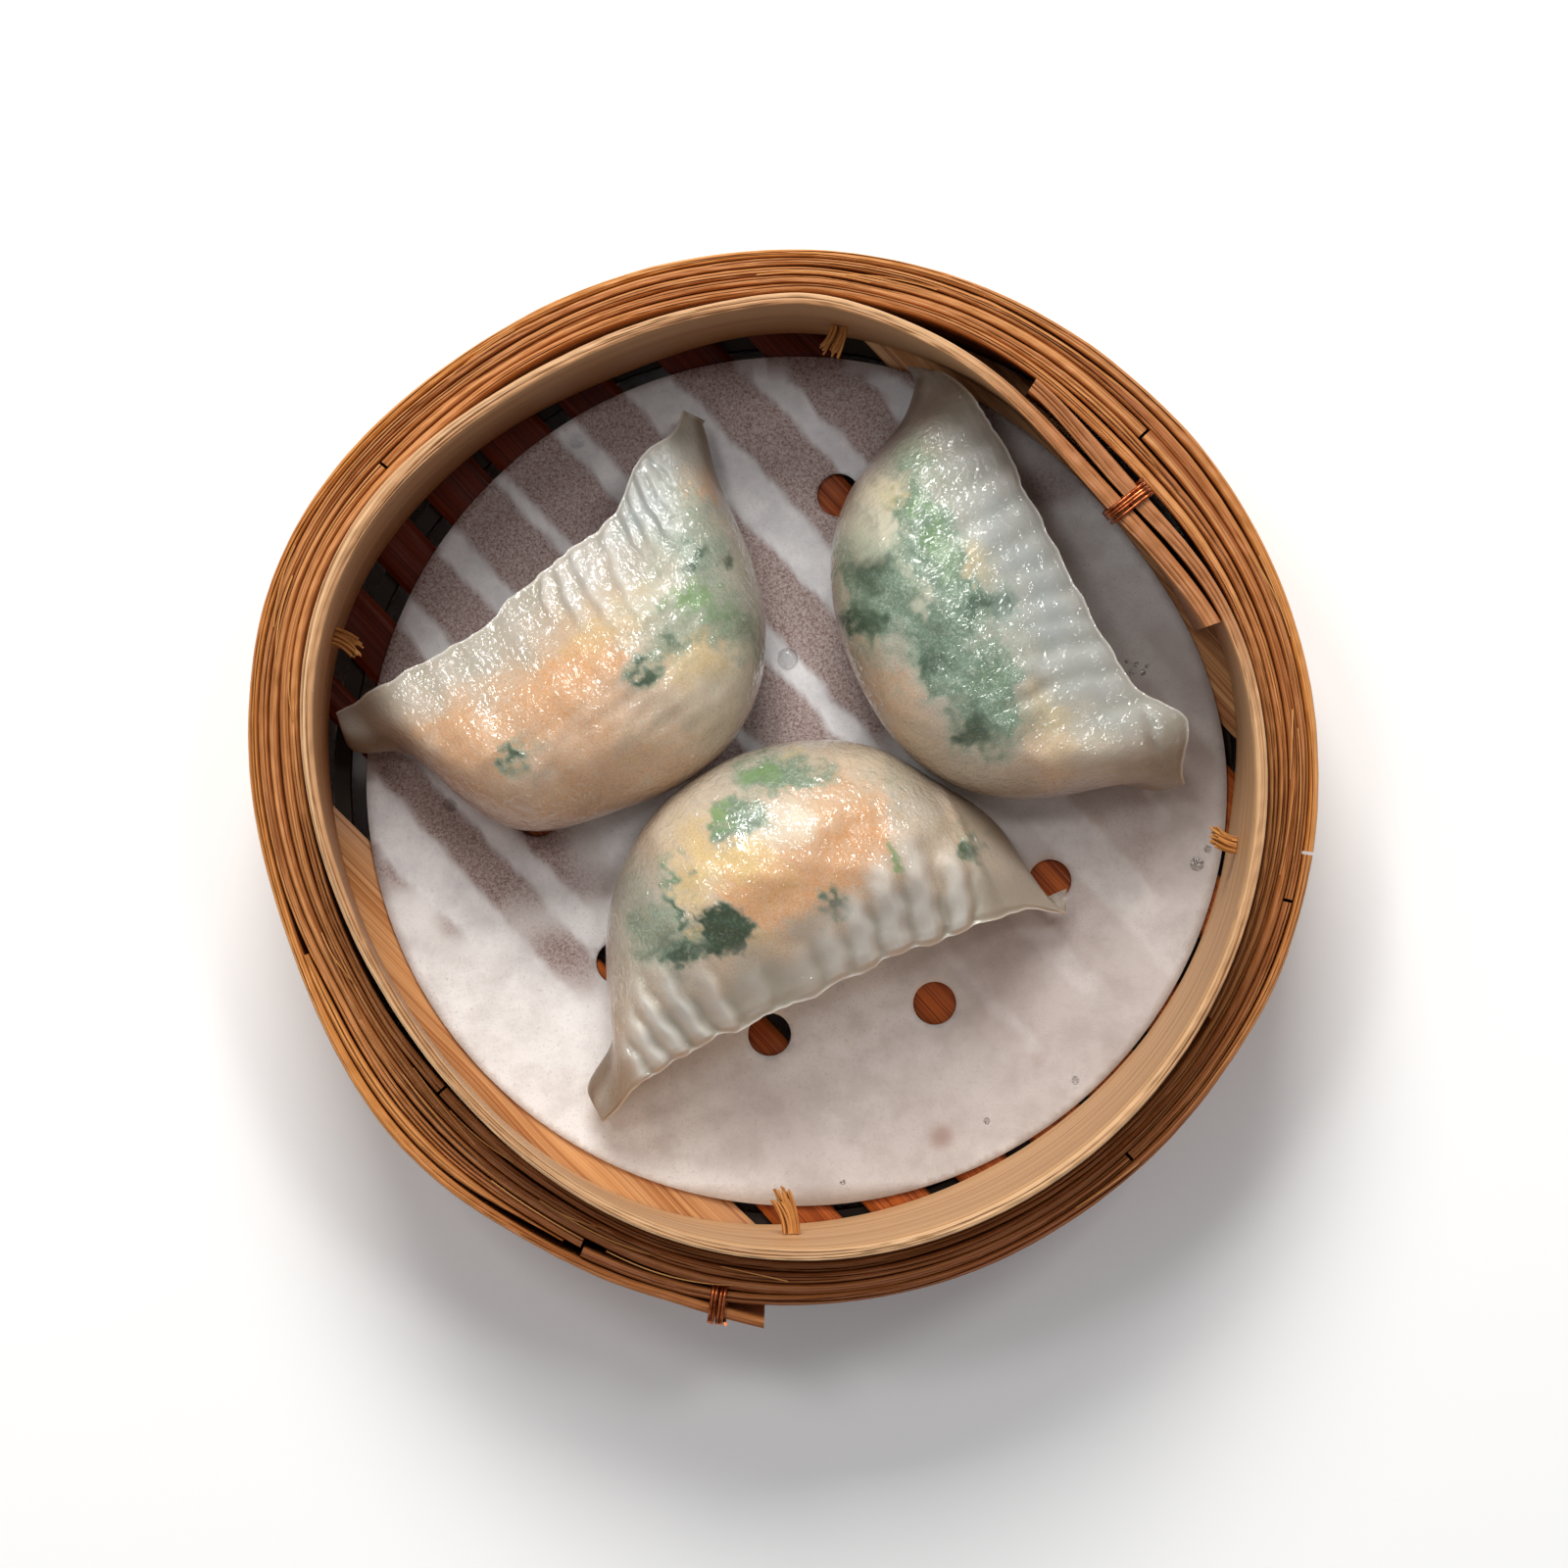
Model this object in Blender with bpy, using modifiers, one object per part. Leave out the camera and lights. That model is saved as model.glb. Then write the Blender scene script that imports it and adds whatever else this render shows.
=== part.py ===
"""Prawn and chive dumplings served in their small bamboo steamer basket.

Three thin-skinned dumplings lie on a punched paper liner in one tier of a bamboo
steamer. The tier is a wide strip wound almost five times round, an inner hoop that
stands above it, slats on a support ring, lash ends and two copper bindings.

Metres, +Z up. The basket stands on z = 0 and its footprint is centred on x = y = 0.
Angles are in degrees, counter-clockwise from +X as seen from above. A turn angle
keeps counting past 360 along a strip that is wound more than once round.
"""

import math

import bmesh
import bpy
import numpy as np

# A swell is one smooth bump on an otherwise round outline: centre, width, height.

# Wound wall of the basket.
WRAP_HEIGHT = 0.0410
WRAP_TURNS = 5
WRAP_FILL = 0.9
WRAP_STEP = 5.0
WRAP_CUTS = (-29.0, 222.0, 501.5, 763.7, 1032.5, 1066.5, 1326.5, 1432.0, 1708.0)
WRAP_BUTT_GAP = 0.8
WRAP_LIFTED_SHARES = {6: 0.8, 7: 1.0}
WRAP_TOP_STEPS = (0.0, -0.0005, 0.0002, -0.0003, 0.0, -0.0004, 0.0001, -0.0002)
START_RAMP = (-54.0, 6.0)
INNER_TOP = 0.0691
INNER_TOP_SWELLS = ((44, 20, -0.0027), (157, 19, 0.00255), (220, 39, -0.00445), (87, 6, 0.00065))
INNER_FOOT = 0.0683
INNER_FOOT_SWELLS = ((5, 22, 0.0010), (48, 30, 0.0028), (165, 26, 0.0022), (244, 20, 0.0008))
OUTER_TOP = 0.0764
OUTER_TOP_SWELLS = ((154, 21, 0.0024), (201, 21, -0.0022), (115, 60, -0.0008), (242, 15, -0.0013))
OUTER_FOOT_SHARE = 0.6
OUTER_FOOT_SWELLS = ((45, 35, 0.0015),)
FLARE_FROM = 1697.0
FLARE_RISE = 0.0018

# Short packing strip between the two outermost layers.
PATCH_RISE = (190.0, 208.0)
PATCH_FALL = (238.0, 266.0)
PATCH_ENDS = (200.0, 245.0)
PATCH_THIN_FROM = 226.0
PATCH_LAYERS = 4.03
PATCH_FILL = 0.85
PATCH_TAPER = 0.85

# Inner hoop, one strip whose ends lap.
HOOP_TOP = 0.0500
HOOP_FOOT = 0.0153
HOOP_ENDS = (20.0, 418.0)
HOOP_RADIUS = 0.0664
HOOP_TOP_SWELLS = (
    (42, 26, -0.0070),
    (87, 8, 0.0009),
    (127, 25, -0.0027),
    (146, 32, 0.0034),
    (216, 40, -0.0047),
    (402, 17, -0.0042),
)
HOOP_FOOT_SWELLS = (
    (40, 28, -0.0032),
    (112, 17, -0.0020),
    (159, 18, 0.0020),
    (217, 26, -0.0021),
    (298, 39, -0.0019),
)
HOOP_WALL = 0.00155
HOOP_WALL_SWELLS = ((30, 35, 0.0008), (150, 22, 0.0005), (405, 18, 0.00075))
LAP_LIFT = (352.0, 378.0)
LAP_OFFSET = 0.0027

# Slats and the ring that carries them.
SLAT_TOP = 0.0150
SLAT_THICKNESS = 0.0020
SLAT_HEADING = -46.8
SLAT_END_GAP = 0.00045
SLAT_CORNER_STEP = 6.0
SLAT_GAPS = (
    (-0.0468, 0.0050, -0.072),
    (-0.0358, 0.0037, 0.0),
    (-0.0236, 0.0043, 0.0),
    (-0.0118, 0.0039, 0.0),
    (0.0001, 0.0017, 0.0),
    (0.0122, 0.0033, 0.0),
    (0.0255, 0.0068, 0.0),
    (0.0391, 0.0037, 0.0),
    (0.0512, 0.0037, 0.0),
)
RING_RADII = (0.0640, 0.0664)
RING_LEVELS = (0.0096, 0.0127)
RING_SIDES = 72

# Paper liner with a ring of punched holes.
LINER_FOOT = 0.0153
LINER_THICKNESS = 0.0003
LINER_CENTRE = (0.0021, 0.0)
LINER_RADII = (0.0634, 0.0625)
LINER_DENTS = ((38, 24, -0.0026),)
LINER_SIDES = 72
HOLE_COUNT = 10
HOLE_RING_CENTRE = (0.0031, 0.0024)
HOLE_RING_RADIUS = 0.0400
HOLE_RADIUS = 0.00317
HOLE_FIRST_ANGLE = -25.3
HOLE_SIDES = 14

# Dumplings. Each lies on its belly side, its pinched seam facing the wall.
DUMPLING_FOOT = LINER_FOOT + LINER_THICKNESS + 0.0003
STATIONS = 54
TOP_POINTS = 12
UNDER_POINTS = 7
FIN_THICKNESS = 0.0014
CREST_AT = 0.60
BELLY_LEVEL = 0.42
TIP_THICKNESS = 0.0032
TIP_LIFT = 0.0035
PINCH_SHARE = 0.75
PINCH_BLEND = 0.0022
NO_STEP_DOWN = (0, 180, 0.0)
PLEAT_RISE = 0.0010
PLEAT_WIDTH = 0.0013
PLEAT_REACH = 0.55
FURROW_DEPTH = 0.6
FURROW_OFFSET = 1.7
FAN_SPAN = (1.5, 178.5)
REST_CENTRE = 1.04

# Copper wire bindings and lash ends.
WIRE_THICKNESS = 0.0006
WIRE_PITCH = 0.00078
WIRE_TURNS = 3
WIRE_CLEARANCE = 0.0003
WIRE_DROP = 0.0062
WIRE_CHAMFER = 0.0005
WIRE_REACH = 1.5
SLOT_HEIGHT = 0.0014
SLOT_WIDTH = 0.0044
SLOT_OVERHANG = 0.002
NOTCH_OVERLAP = 0.0002
HOOP_WIRE_ANGLE = 39.0
WRAP_WIRE_ANGLE = 263.0
LASH_HEIGHT = 0.030
LASH_GAP = 0.0007
LASH_ENDS = ((83, 0.0046, 0.0009), (162, 0.0047, 0.0009), (271, 0.0074, -0.0014), (352, 0.0042, 0.0009))
LASH_RISE = 0.0012
LASH_RADII = (0.0010, 0.0013, 0.0009, 0.0002)

DUMPLINGS = (
    {
        "name": "dumpling_1",
        "middle": (-0.0396, 0.0316),
        "turn": 222.5,
        "half": 0.0336,
        "height": 0.0280,
        "seam_height": 0.0175,
        "belly": 0.0303,
        "belly_swells": ((0, 15, 0.0044), (82, 44, 0.0111), (131, 19, 0.0051), (174, 8, 0.0053)),
        "seam": -0.0062,
        "seam_swells": (
            (-0.0312, 0.0070, 0.0050),
            (-0.0158, 0.0092, 0.0049),
            (0.0050, 0.0297, 0.0108),
            (0.0322, 0.0041, 0.0009),
        ),
        "flaps": ((0.0055, 0.65), (0.0090, 0.40)),
        "pleats": ((-0.0310, -0.0030, 7),),
        "slant": 0.0060,
    },
    {
        "name": "dumpling_2",
        "middle": (0.0393, 0.0291),
        "turn": 119.1,
        "half": 0.0352,
        "height": 0.0285,
        "seam_height": 0.0185,
        "belly": 0.0300,
        "belly_swells": ((0, 8, 0.0044), (59, 35, 0.0031), (132, 36, 0.0026), (192, 16, 0.0150)),
        "seam": -0.0023,
        "seam_swells": (
            (-0.0267, 0.0046, -0.0048),
            (-0.0120, 0.0209, 0.0006),
            (0.0420, 0.0052, 0.0124),
        ),
        "flaps": ((0.0060, 0.80), (0.0080, 0.45)),
        "pleats": ((-0.0250, 0.0280, 9),),
        "slant": 0.0015,
    },
    {
        "name": "dumpling_3",
        "middle": (0.0073, -0.0342),
        "turn": 24.1,
        "half": 0.0371,
        "height": 0.0290,
        "seam_height": 0.0185,
        "belly": 0.0304,
        "belly_swells": (
            (6, 8, 0.0066),
            (72, 42, 0.0065),
            (130, 52, 0.0082),
            (138, 13, -0.0016),
            (187, 8, 0.0150),
        ),
        "seam": -0.0062,
        "seam_swells": (
            (-0.0240, 0.0194, 0.0083),
            (0.0120, 0.0272, 0.0108),
            (0.0312, 0.0075, 0.0025),
        ),
        "flaps": ((0.0085, 0.35), (0.0100, 0.40)),
        "pleats": ((-0.0290, -0.0130, 5), (-0.0040, 0.0210, 6)),
        "slant": -0.0020,
        "step_down": (134, 142, 0.35),
    },
)


def clear_scene():
    for item in list(bpy.data.objects):
        bpy.data.objects.remove(item, do_unlink=True)


def new_collection(name):
    collection = bpy.data.collections.new(name)
    bpy.context.scene.collection.children.link(collection)
    return collection


def finish(name, colour, roughness, metallic=0.0):
    material = bpy.data.materials.new(name)
    material.use_nodes = True
    shader = material.node_tree.nodes["Principled BSDF"]
    shader.inputs["Base Color"].default_value = (*colour, 1.0)
    shader.inputs["Roughness"].default_value = roughness
    shader.inputs["Metallic"].default_value = metallic
    return material


def ramp(value, low, high):
    """0 below low, 1 above high, with a smooth rise between."""
    share = np.clip((value - low) / (high - low), 0.0, 1.0)
    return share * share * (3.0 - 2.0 * share)


def swell(position, swells, period=None):
    """Sum of smooth bumps at a position, which wraps round at the period if one is given."""
    total = 0.0
    for centre, width, height in swells:
        apart = position - centre
        if period:
            apart = (apart + period / 2) % period - period / 2
        total = total + height * np.exp(-((apart / width) ** 2))
    return total


def polar(angle, radius, level):
    turn = np.radians(angle)
    return np.stack([radius * np.cos(turn), radius * np.sin(turn), level + 0.0 * radius], axis=-1)


def add_object(name, data, material, collection):
    item = bpy.data.objects.new(name, data)
    collection.objects.link(item)
    if material:
        data.materials.append(material)
    return item


def loft(name, sections, material, collection, smooth=False):
    """A closed solid through a row of closed sections, an array (sections, points, 3)."""
    rows, points, _ = sections.shape
    faces = [tuple(range(points)), tuple(range((rows - 1) * points, rows * points))]
    for row in range(rows - 1):
        here, beyond = row * points, (row + 1) * points
        for point in range(points):
            following = (point + 1) % points
            near_a, near_b = here + point, here + following
            far_a, far_b = beyond + point, beyond + following
            # Opposite walls are split along the same diagonal, so that layers stay parallel.
            if point < points / 2:
                faces += [(near_a, near_b, far_b), (near_a, far_b, far_a)]
            else:
                faces += [(near_a, near_b, far_a), (near_b, far_b, far_a)]
    mesh = bpy.data.meshes.new(name)
    mesh.from_pydata(sections.reshape(-1, 3).tolist(), [], faces)
    solid = bmesh.new()
    solid.from_mesh(mesh)
    bmesh.ops.recalc_face_normals(solid, faces=solid.faces)
    solid.to_mesh(mesh)
    solid.free()
    if smooth:
        mesh.shade_smooth()
        mesh.set_sharp_from_angle(angle=math.radians(50))
    return add_object(name, mesh, material, collection)


# Shape of the wound wall.


def inner_top(angle):
    return INNER_TOP + swell(angle, INNER_TOP_SWELLS, 360)


def inner_foot(angle):
    return INNER_FOOT + swell(angle, INNER_FOOT_SWELLS, 360)


def outer_top(angle):
    return OUTER_TOP + swell(angle, OUTER_TOP_SWELLS, 360)


def outer_foot(angle):
    leaning = OUTER_FOOT_SHARE * (outer_top(angle) - OUTER_TOP)
    return OUTER_TOP + leaning + swell(angle, OUTER_FOOT_SWELLS, 360)


def patch_room(angle):
    """Share of one layer that the packing strip takes up at this angle."""
    around = np.mod(angle, 360)
    return ramp(around, *PATCH_RISE) * (1.0 - ramp(around, *PATCH_FALL))


def layers_within(turn_angle):
    """How many strip layers lie between the hollow and this point of the strip."""
    count = 0.0
    for turns in range(1, WRAP_TURNS + 1):
        count = count + ramp(turn_angle - 360 * turns, *START_RAMP)
    return count


def wall_face(turn_angle, layers, height_share):
    """Radius of the wall after a number of layers, from its foot (0) to its top (1)."""
    share = layers / (WRAP_TURNS + patch_room(turn_angle))
    foot = inner_foot(turn_angle) + share * (outer_foot(turn_angle) - inner_foot(turn_angle))
    top = inner_top(turn_angle) + share * (outer_top(turn_angle) - inner_top(turn_angle))
    return foot + (top - foot) * height_share


def flare(turn_angle):
    """How far the free end of the outermost strip stands off the wall."""
    return FLARE_RISE * np.clip((turn_angle - FLARE_FROM) / (WRAP_CUTS[-1] - FLARE_FROM), 0, 1) ** 1.5


def wrap_sections(turn_angles, layers, thickness, top_level):
    """Four corners of the strip at each turn angle, foot to top."""
    corners = []
    for height_share, outside in ((0, 0), (0, 1), (1, 1), (1, 0)):
        radius = wall_face(turn_angles, layers + outside * thickness, height_share) + flare(turn_angles)
        corners.append(polar(turn_angles, radius, height_share * top_level))
    return np.stack(corners, axis=1)


def stations_between(start, end):
    """Both ends of a strip and every whole step between them."""
    first = math.floor(start / WRAP_STEP + 1.2) * WRAP_STEP
    last = math.ceil(end / WRAP_STEP - 1.2) * WRAP_STEP
    inside = np.arange(first, last + WRAP_STEP / 2, WRAP_STEP)
    return np.concatenate([[start], inside, [end]])


def make_wraps(material, collection):
    wraps = []
    for index in range(len(WRAP_CUTS) - 1):
        start = WRAP_CUTS[index] + (WRAP_BUTT_GAP if index else 0.0)
        angles = stations_between(start, WRAP_CUTS[index + 1])
        layers = layers_within(angles) + WRAP_LIFTED_SHARES.get(index, 0.0) * patch_room(angles)
        thickness = WRAP_FILL * ramp(angles, *START_RAMP)
        sections = wrap_sections(angles, layers, thickness, WRAP_HEIGHT + WRAP_TOP_STEPS[index])
        wraps.append(loft(f"wrap_{index + 1}", sections, material, collection))
    return wraps


def make_patch(material, collection):
    angles = stations_between(*PATCH_ENDS)
    thin = 1.0 - PATCH_TAPER * ramp(angles, PATCH_THIN_FROM, PATCH_ENDS[1])
    thickness = PATCH_FILL * patch_room(angles) * thin
    sections = wrap_sections(angles, PATCH_LAYERS + 0.0 * angles, thickness, WRAP_HEIGHT)
    return loft("wrap_patch", sections, material, collection)


# Inner hoop.


def hoop_wall(turn_angle):
    return HOOP_WALL + swell(turn_angle, HOOP_WALL_SWELLS)


def hoop_inner(turn_angle, level):
    """Inner radius of the hoop at a height, a straight line between its foot and its rim."""
    foot = HOOP_RADIUS + swell(turn_angle, HOOP_FOOT_SWELLS, 360) + LAP_OFFSET * ramp(turn_angle, *LAP_LIFT)
    rim = HOOP_RADIUS + swell(turn_angle, HOOP_TOP_SWELLS)
    return foot + (rim - foot) * (level - HOOP_FOOT) / (HOOP_TOP - HOOP_FOOT)


def make_hoop(material, collection):
    angles = stations_between(*HOOP_ENDS)
    corners = []
    for level, outside in ((HOOP_FOOT, 0), (HOOP_FOOT, 1), (HOOP_TOP, 1), (HOOP_TOP, 0)):
        radius = hoop_inner(angles, level) + outside * hoop_wall(angles)
        corners.append(polar(angles, radius, level))
    return loft("hoop", np.stack(corners, axis=1), material, collection)


# Slats and their ring.


def slat_reach(angle):
    """How far the slats reach: just short of the wound wall at their height."""
    share = SLAT_TOP / WRAP_HEIGHT
    return inner_foot(angle) + share * (inner_top(angle) - inner_foot(angle)) - SLAT_END_GAP


def slat_edge(gap, side):
    """(offset, slope) of one edge of a gap between two slats."""
    offset, width, slope = gap
    return offset + side * width / 2, side * slope / 2


def edge_end(offset, slope, direction):
    """Where a slat edge meets the wall: its distance along the heading, by repeated steps."""
    along = direction * slat_reach(0)
    for _ in range(20):
        across = offset + slope * along
        angle = SLAT_HEADING + math.degrees(math.atan2(across, along))
        along = direction * math.sqrt(float(slat_reach(angle)) ** 2 - across**2)
    return math.degrees(math.atan2(offset + slope * along, along))


def slat_outline(low, high):
    """Outline of one slat between two edges, as angles from the heading; None is the wall itself."""
    low_ahead, low_behind = (edge_end(*low, 1), edge_end(*low, -1)) if low else (None, None)
    high_ahead, high_behind = (edge_end(*high, 1), edge_end(*high, -1)) if high else (None, None)
    if low and high:
        spans = [(low_ahead, high_ahead), (high_behind, low_behind)]
    elif high:
        spans = [(high_behind, high_ahead)]
    else:
        spans = [(low_ahead, low_behind)]
    angles = []
    for start, end in spans:
        end = end if end > start else end + 360
        steps = max(1, math.ceil((end - start) / SLAT_CORNER_STEP))
        angles.extend(np.linspace(start, end, steps + 1))
    return np.array(angles) + SLAT_HEADING


def flat_plate(name, outlines, thickness, level, material, collection):
    """A flat plate from closed outlines in the XY plane; an outline inside another is a hole."""
    curve = bpy.data.curves.new(name, "CURVE")
    curve.dimensions = "2D"
    curve.fill_mode = "BOTH"
    curve.extrude = thickness / 2
    for outline in outlines:
        spline = curve.splines.new("POLY")
        spline.points.add(len(outline) - 1)
        spline.use_cyclic_u = True
        for point, (x, y) in zip(spline.points, outline):
            point.co = (x, y, 0.0, 1.0)
    plate = add_object(name, curve, material, collection)
    plate.location.z = level + thickness / 2
    return plate


def make_slats(wet, pale, collection):
    edges_low = [None] + [slat_edge(gap, 1) for gap in SLAT_GAPS]
    edges_high = [slat_edge(gap, -1) for gap in SLAT_GAPS] + [None]
    for index, (low, high) in enumerate(zip(edges_low, edges_high)):
        angles = slat_outline(low, high)
        outline = polar(angles, slat_reach(angles), 0.0)[:, :2]
        material = wet if low and high else pale
        foot = SLAT_TOP - SLAT_THICKNESS
        flat_plate(f"slat_{index + 1}", [outline], SLAT_THICKNESS, foot, material, collection)


def make_support_ring(material, collection):
    inner, outer = RING_RADII
    low, high = RING_LEVELS
    profile = [(outer, 0, high), (outer, 0, low), (inner, 0, low), (inner, 0, high)]
    mesh = bpy.data.meshes.new("support_ring")
    mesh.from_pydata(profile, [(0, 1), (1, 2), (2, 3), (3, 0)], [])
    ring = add_object("support_ring", mesh, material, collection)
    screw = ring.modifiers.new("turn", "SCREW")
    screw.steps = screw.render_steps = RING_SIDES
    screw.use_merge_vertices = True
    screw.merge_threshold = 0.00001
    return ring


# Paper liner.


def round_outline(centre, radii, sides, dents=()):
    """An ellipse about a centre, pushed in where dents are given."""
    angle = np.linspace(0, 360, sides, endpoint=False)
    dent = swell(angle, dents, 360)
    turn = np.radians(angle)
    x = centre[0] + (radii[0] + dent) * np.cos(turn)
    y = centre[1] + (radii[1] + dent) * np.sin(turn)
    return np.stack([x, y], axis=-1)


def make_liner(material, collection):
    outlines = [round_outline(LINER_CENTRE, LINER_RADII, LINER_SIDES, LINER_DENTS)]
    for number in range(HOLE_COUNT):
        turn = math.radians(HOLE_FIRST_ANGLE + 360 * number / HOLE_COUNT)
        x = HOLE_RING_CENTRE[0] + HOLE_RING_RADIUS * math.cos(turn)
        y = HOLE_RING_CENTRE[1] + HOLE_RING_RADIUS * math.sin(turn)
        outlines.append(round_outline((x, y), (HOLE_RADIUS, HOLE_RADIUS), HOLE_SIDES))
    return flat_plate("liner", outlines, LINER_THICKNESS, LINER_FOOT, material, collection)


# Dumplings.


def top_form(across):
    """Height share of the upper skin: a rise from the seam, then an elliptical fall to the belly."""
    rise = np.sin(math.pi / 2 * np.clip(across / CREST_AT, 0, 1)) ** 1.25
    fall = np.sqrt(np.clip(1 - ((across - CREST_AT) / (1 - CREST_AT)) ** 2, 0, 1))
    return np.where(across < CREST_AT, rise, fall)


def under_form(across):
    """Share by which the under skin drops to the paper: a flat rest between two rounded edges."""
    return np.clip(1 - np.abs(2 * across - REST_CENTRE) ** 3, 0, 1) ** 0.5


def pleat_relief(along, across, shape):
    """Height of the pinched folds that run over the skin from the seam."""
    relief = 0.0
    for first, last, count in shape["pleats"]:
        for place in np.linspace(first, last, count):
            offset = (along - place - shape["slant"] * across) / PLEAT_WIDTH
            relief = relief + np.exp(-(offset**2))
            relief = relief - FURROW_DEPTH * np.exp(-((offset - FURROW_OFFSET) ** 2))
    return PLEAT_RISE * relief * (1 - ramp(across, 0.1, PLEAT_REACH))


def flap_share(from_tip, reach, least):
    """Share of the full height near a tip: least at the tip itself, 1 beyond reach."""
    return least + (1 - least) * ramp(from_tip, 0, reach)


def soft_lower(first, second, blend_width):
    """Lower of two heights, rounded where they meet: half of their sum less
    the square root of (their difference squared + width squared)."""
    return (first + second - np.sqrt((first - second) ** 2 + blend_width**2)) / 2


def dumpling_sections(shape):
    """Rings of points round the dumpling, fanned from the middle of its seam."""
    fan = np.radians(np.linspace(*FAN_SPAN, STATIONS))[:, None]
    belly_radius = shape["belly"] + swell(np.degrees(fan), shape["belly_swells"])
    seam_x = -shape["half"] * np.cos(fan)
    seam_y = shape["seam"] + swell(seam_x, shape["seam_swells"])
    belly_x = -belly_radius * np.cos(fan)
    belly_y = np.maximum(belly_radius * np.sin(fan), seam_y + TIP_THICKNESS)
    low_from, low_to, low_share = shape.get("step_down", NO_STEP_DOWN)
    fullness = np.sin(fan) * (1 - low_share * ramp(np.degrees(fan), low_from, low_to))
    floor = TIP_LIFT * (1 - fullness) ** 1.5
    slim = flap_share(shape["half"] + seam_x, *shape["flaps"][0])
    slim = slim * flap_share(shape["half"] - seam_x, *shape["flaps"][1])
    stuffed = TIP_THICKNESS / 2 + (shape["height"] - TIP_THICKNESS / 2) * fullness**0.8 * slim
    pinched = FIN_THICKNESS + PINCH_SHARE * np.hypot(belly_x - seam_x, belly_y - seam_y)
    height = floor + soft_lower(stuffed, pinched, PINCH_BLEND * fullness)
    seam_rise = (shape["seam_height"] - TIP_THICKNESS / 4) * fullness**0.5 * slim
    seam_level = floor + TIP_THICKNESS / 4 + seam_rise
    belly_level = floor + BELLY_LEVEL * (height - floor)

    over = (1 - np.cos(np.linspace(0, math.pi, TOP_POINTS)))[None, :] / 2
    under = (1 + np.cos(np.linspace(0, math.pi, UNDER_POINTS + 1)[1:]))[None, :] / 2
    rings = []
    for across, upper in ((over, True), (under, False)):
        middle = seam_level + (belly_level - seam_level) * across
        fin = FIN_THICKNESS / 2 * (1 - across)
        if upper:
            crest = height - (seam_level + (belly_level - seam_level) * CREST_AT)
            level = middle + fin + crest * top_form(across)
            level = level + pleat_relief(seam_x, across, shape) * fullness
        else:
            level = middle - fin - (middle - floor) * under_form(across)
            level = np.maximum(level, floor)
        x = seam_x + (belly_x - seam_x) * across
        y = seam_y + (belly_y - seam_y) * across
        rings.append(np.stack([x, y, level + DUMPLING_FOOT], axis=-1))
    return np.concatenate(rings, axis=1)


def make_dumpling(shape, material, collection):
    dumpling = loft(shape["name"], dumpling_sections(shape), material, collection, smooth=True)
    dumpling.location = (*shape["middle"], 0.0)
    dumpling.rotation_euler.z = math.radians(shape["turn"])
    return dumpling


# Wire bindings and lash ends.


def tube(name, points, thickness, material, collection, radii=None):
    curve = bpy.data.curves.new(name, "CURVE")
    curve.dimensions = "3D"
    curve.bevel_depth = thickness / 2
    curve.bevel_resolution = 2
    curve.use_fill_caps = True
    spline = curve.splines.new("POLY")
    spline.points.add(len(points) - 1)
    for index, point in enumerate(points):
        spline.points[index].co = (*point, 1.0)
        if radii is not None:
            spline.points[index].radius = radii[index]
    return add_object(name, curve, material, collection)


def make_binding(name, angle, inner, outer, top, material, collection):
    """Turns of wire round the top of a wall: over the rim, down and back through a slot."""
    clear = WIRE_THICKNESS / 2 + WIRE_CLEARANCE
    half_across = (outer - inner) / 2 + clear
    half_tall = (WIRE_DROP + clear) / 2
    inset_across, inset_tall = half_across - WIRE_CHAMFER, half_tall - WIRE_CHAMFER
    corners = [(half_across, inset_tall), (inset_across, half_tall), (-inset_across, half_tall)]
    corners += [(-half_across, inset_tall), (-half_across, -inset_tall), (-inset_across, -half_tall)]
    corners += [(inset_across, -half_tall), (half_across, -inset_tall)]
    total = WIRE_TURNS * len(corners) + 1
    points = []
    for step in range(total):
        across, up = corners[step % len(corners)]
        side = WIRE_PITCH * (step - total / 2) / len(corners)
        points.append(((inner + outer) / 2 + across, side, top - WIRE_DROP + half_tall + up))
    wire = tube(name, points, WIRE_THICKNESS, material, collection)
    wire.rotation_euler.z = math.radians(angle)
    return wire


def box_cutter(name, angle, near, far, width, low, high, cutters):
    """A block across the wall, from one radius to another, to cut a slot or a notch."""
    mesh = bpy.data.meshes.new(name)
    block = bmesh.new()
    bmesh.ops.create_cube(block, size=1.0)
    bmesh.ops.scale(block, vec=(far - near, width, high - low), verts=block.verts)
    bmesh.ops.translate(block, vec=((near + far) / 2, 0, (low + high) / 2), verts=block.verts)
    block.to_mesh(mesh)
    block.free()
    cutter = add_object(name, mesh, None, cutters)
    cutter.rotation_euler.z = math.radians(angle)
    cutter.hide_render = True
    cutter.display_type = "WIRE"
    return cutter


def cut(item, cutter):
    boolean = item.modifiers.new(cutter.name, "BOOLEAN")
    boolean.operation = "DIFFERENCE"
    boolean.object = cutter


def bind_hoop(hoop, material, collection, cutters):
    lap_angle = HOOP_WIRE_ANGLE + 360
    level = HOOP_TOP - WIRE_DROP
    inner = min(float(hoop_inner(HOOP_WIRE_ANGLE, height)) for height in (HOOP_TOP, level))
    outer = max(float(hoop_inner(lap_angle, height)) for height in (HOOP_TOP, level)) + hoop_wall(lap_angle)
    slot = box_cutter(
        "slot_hoop",
        HOOP_WIRE_ANGLE,
        inner - SLOT_OVERHANG,
        outer + SLOT_OVERHANG,
        SLOT_WIDTH,
        level - SLOT_HEIGHT / 2,
        level + SLOT_HEIGHT / 2,
        cutters,
    )
    cut(hoop, slot)
    make_binding("wire_1", HOOP_WIRE_ANGLE, inner, outer, HOOP_TOP, material, collection)


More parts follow.
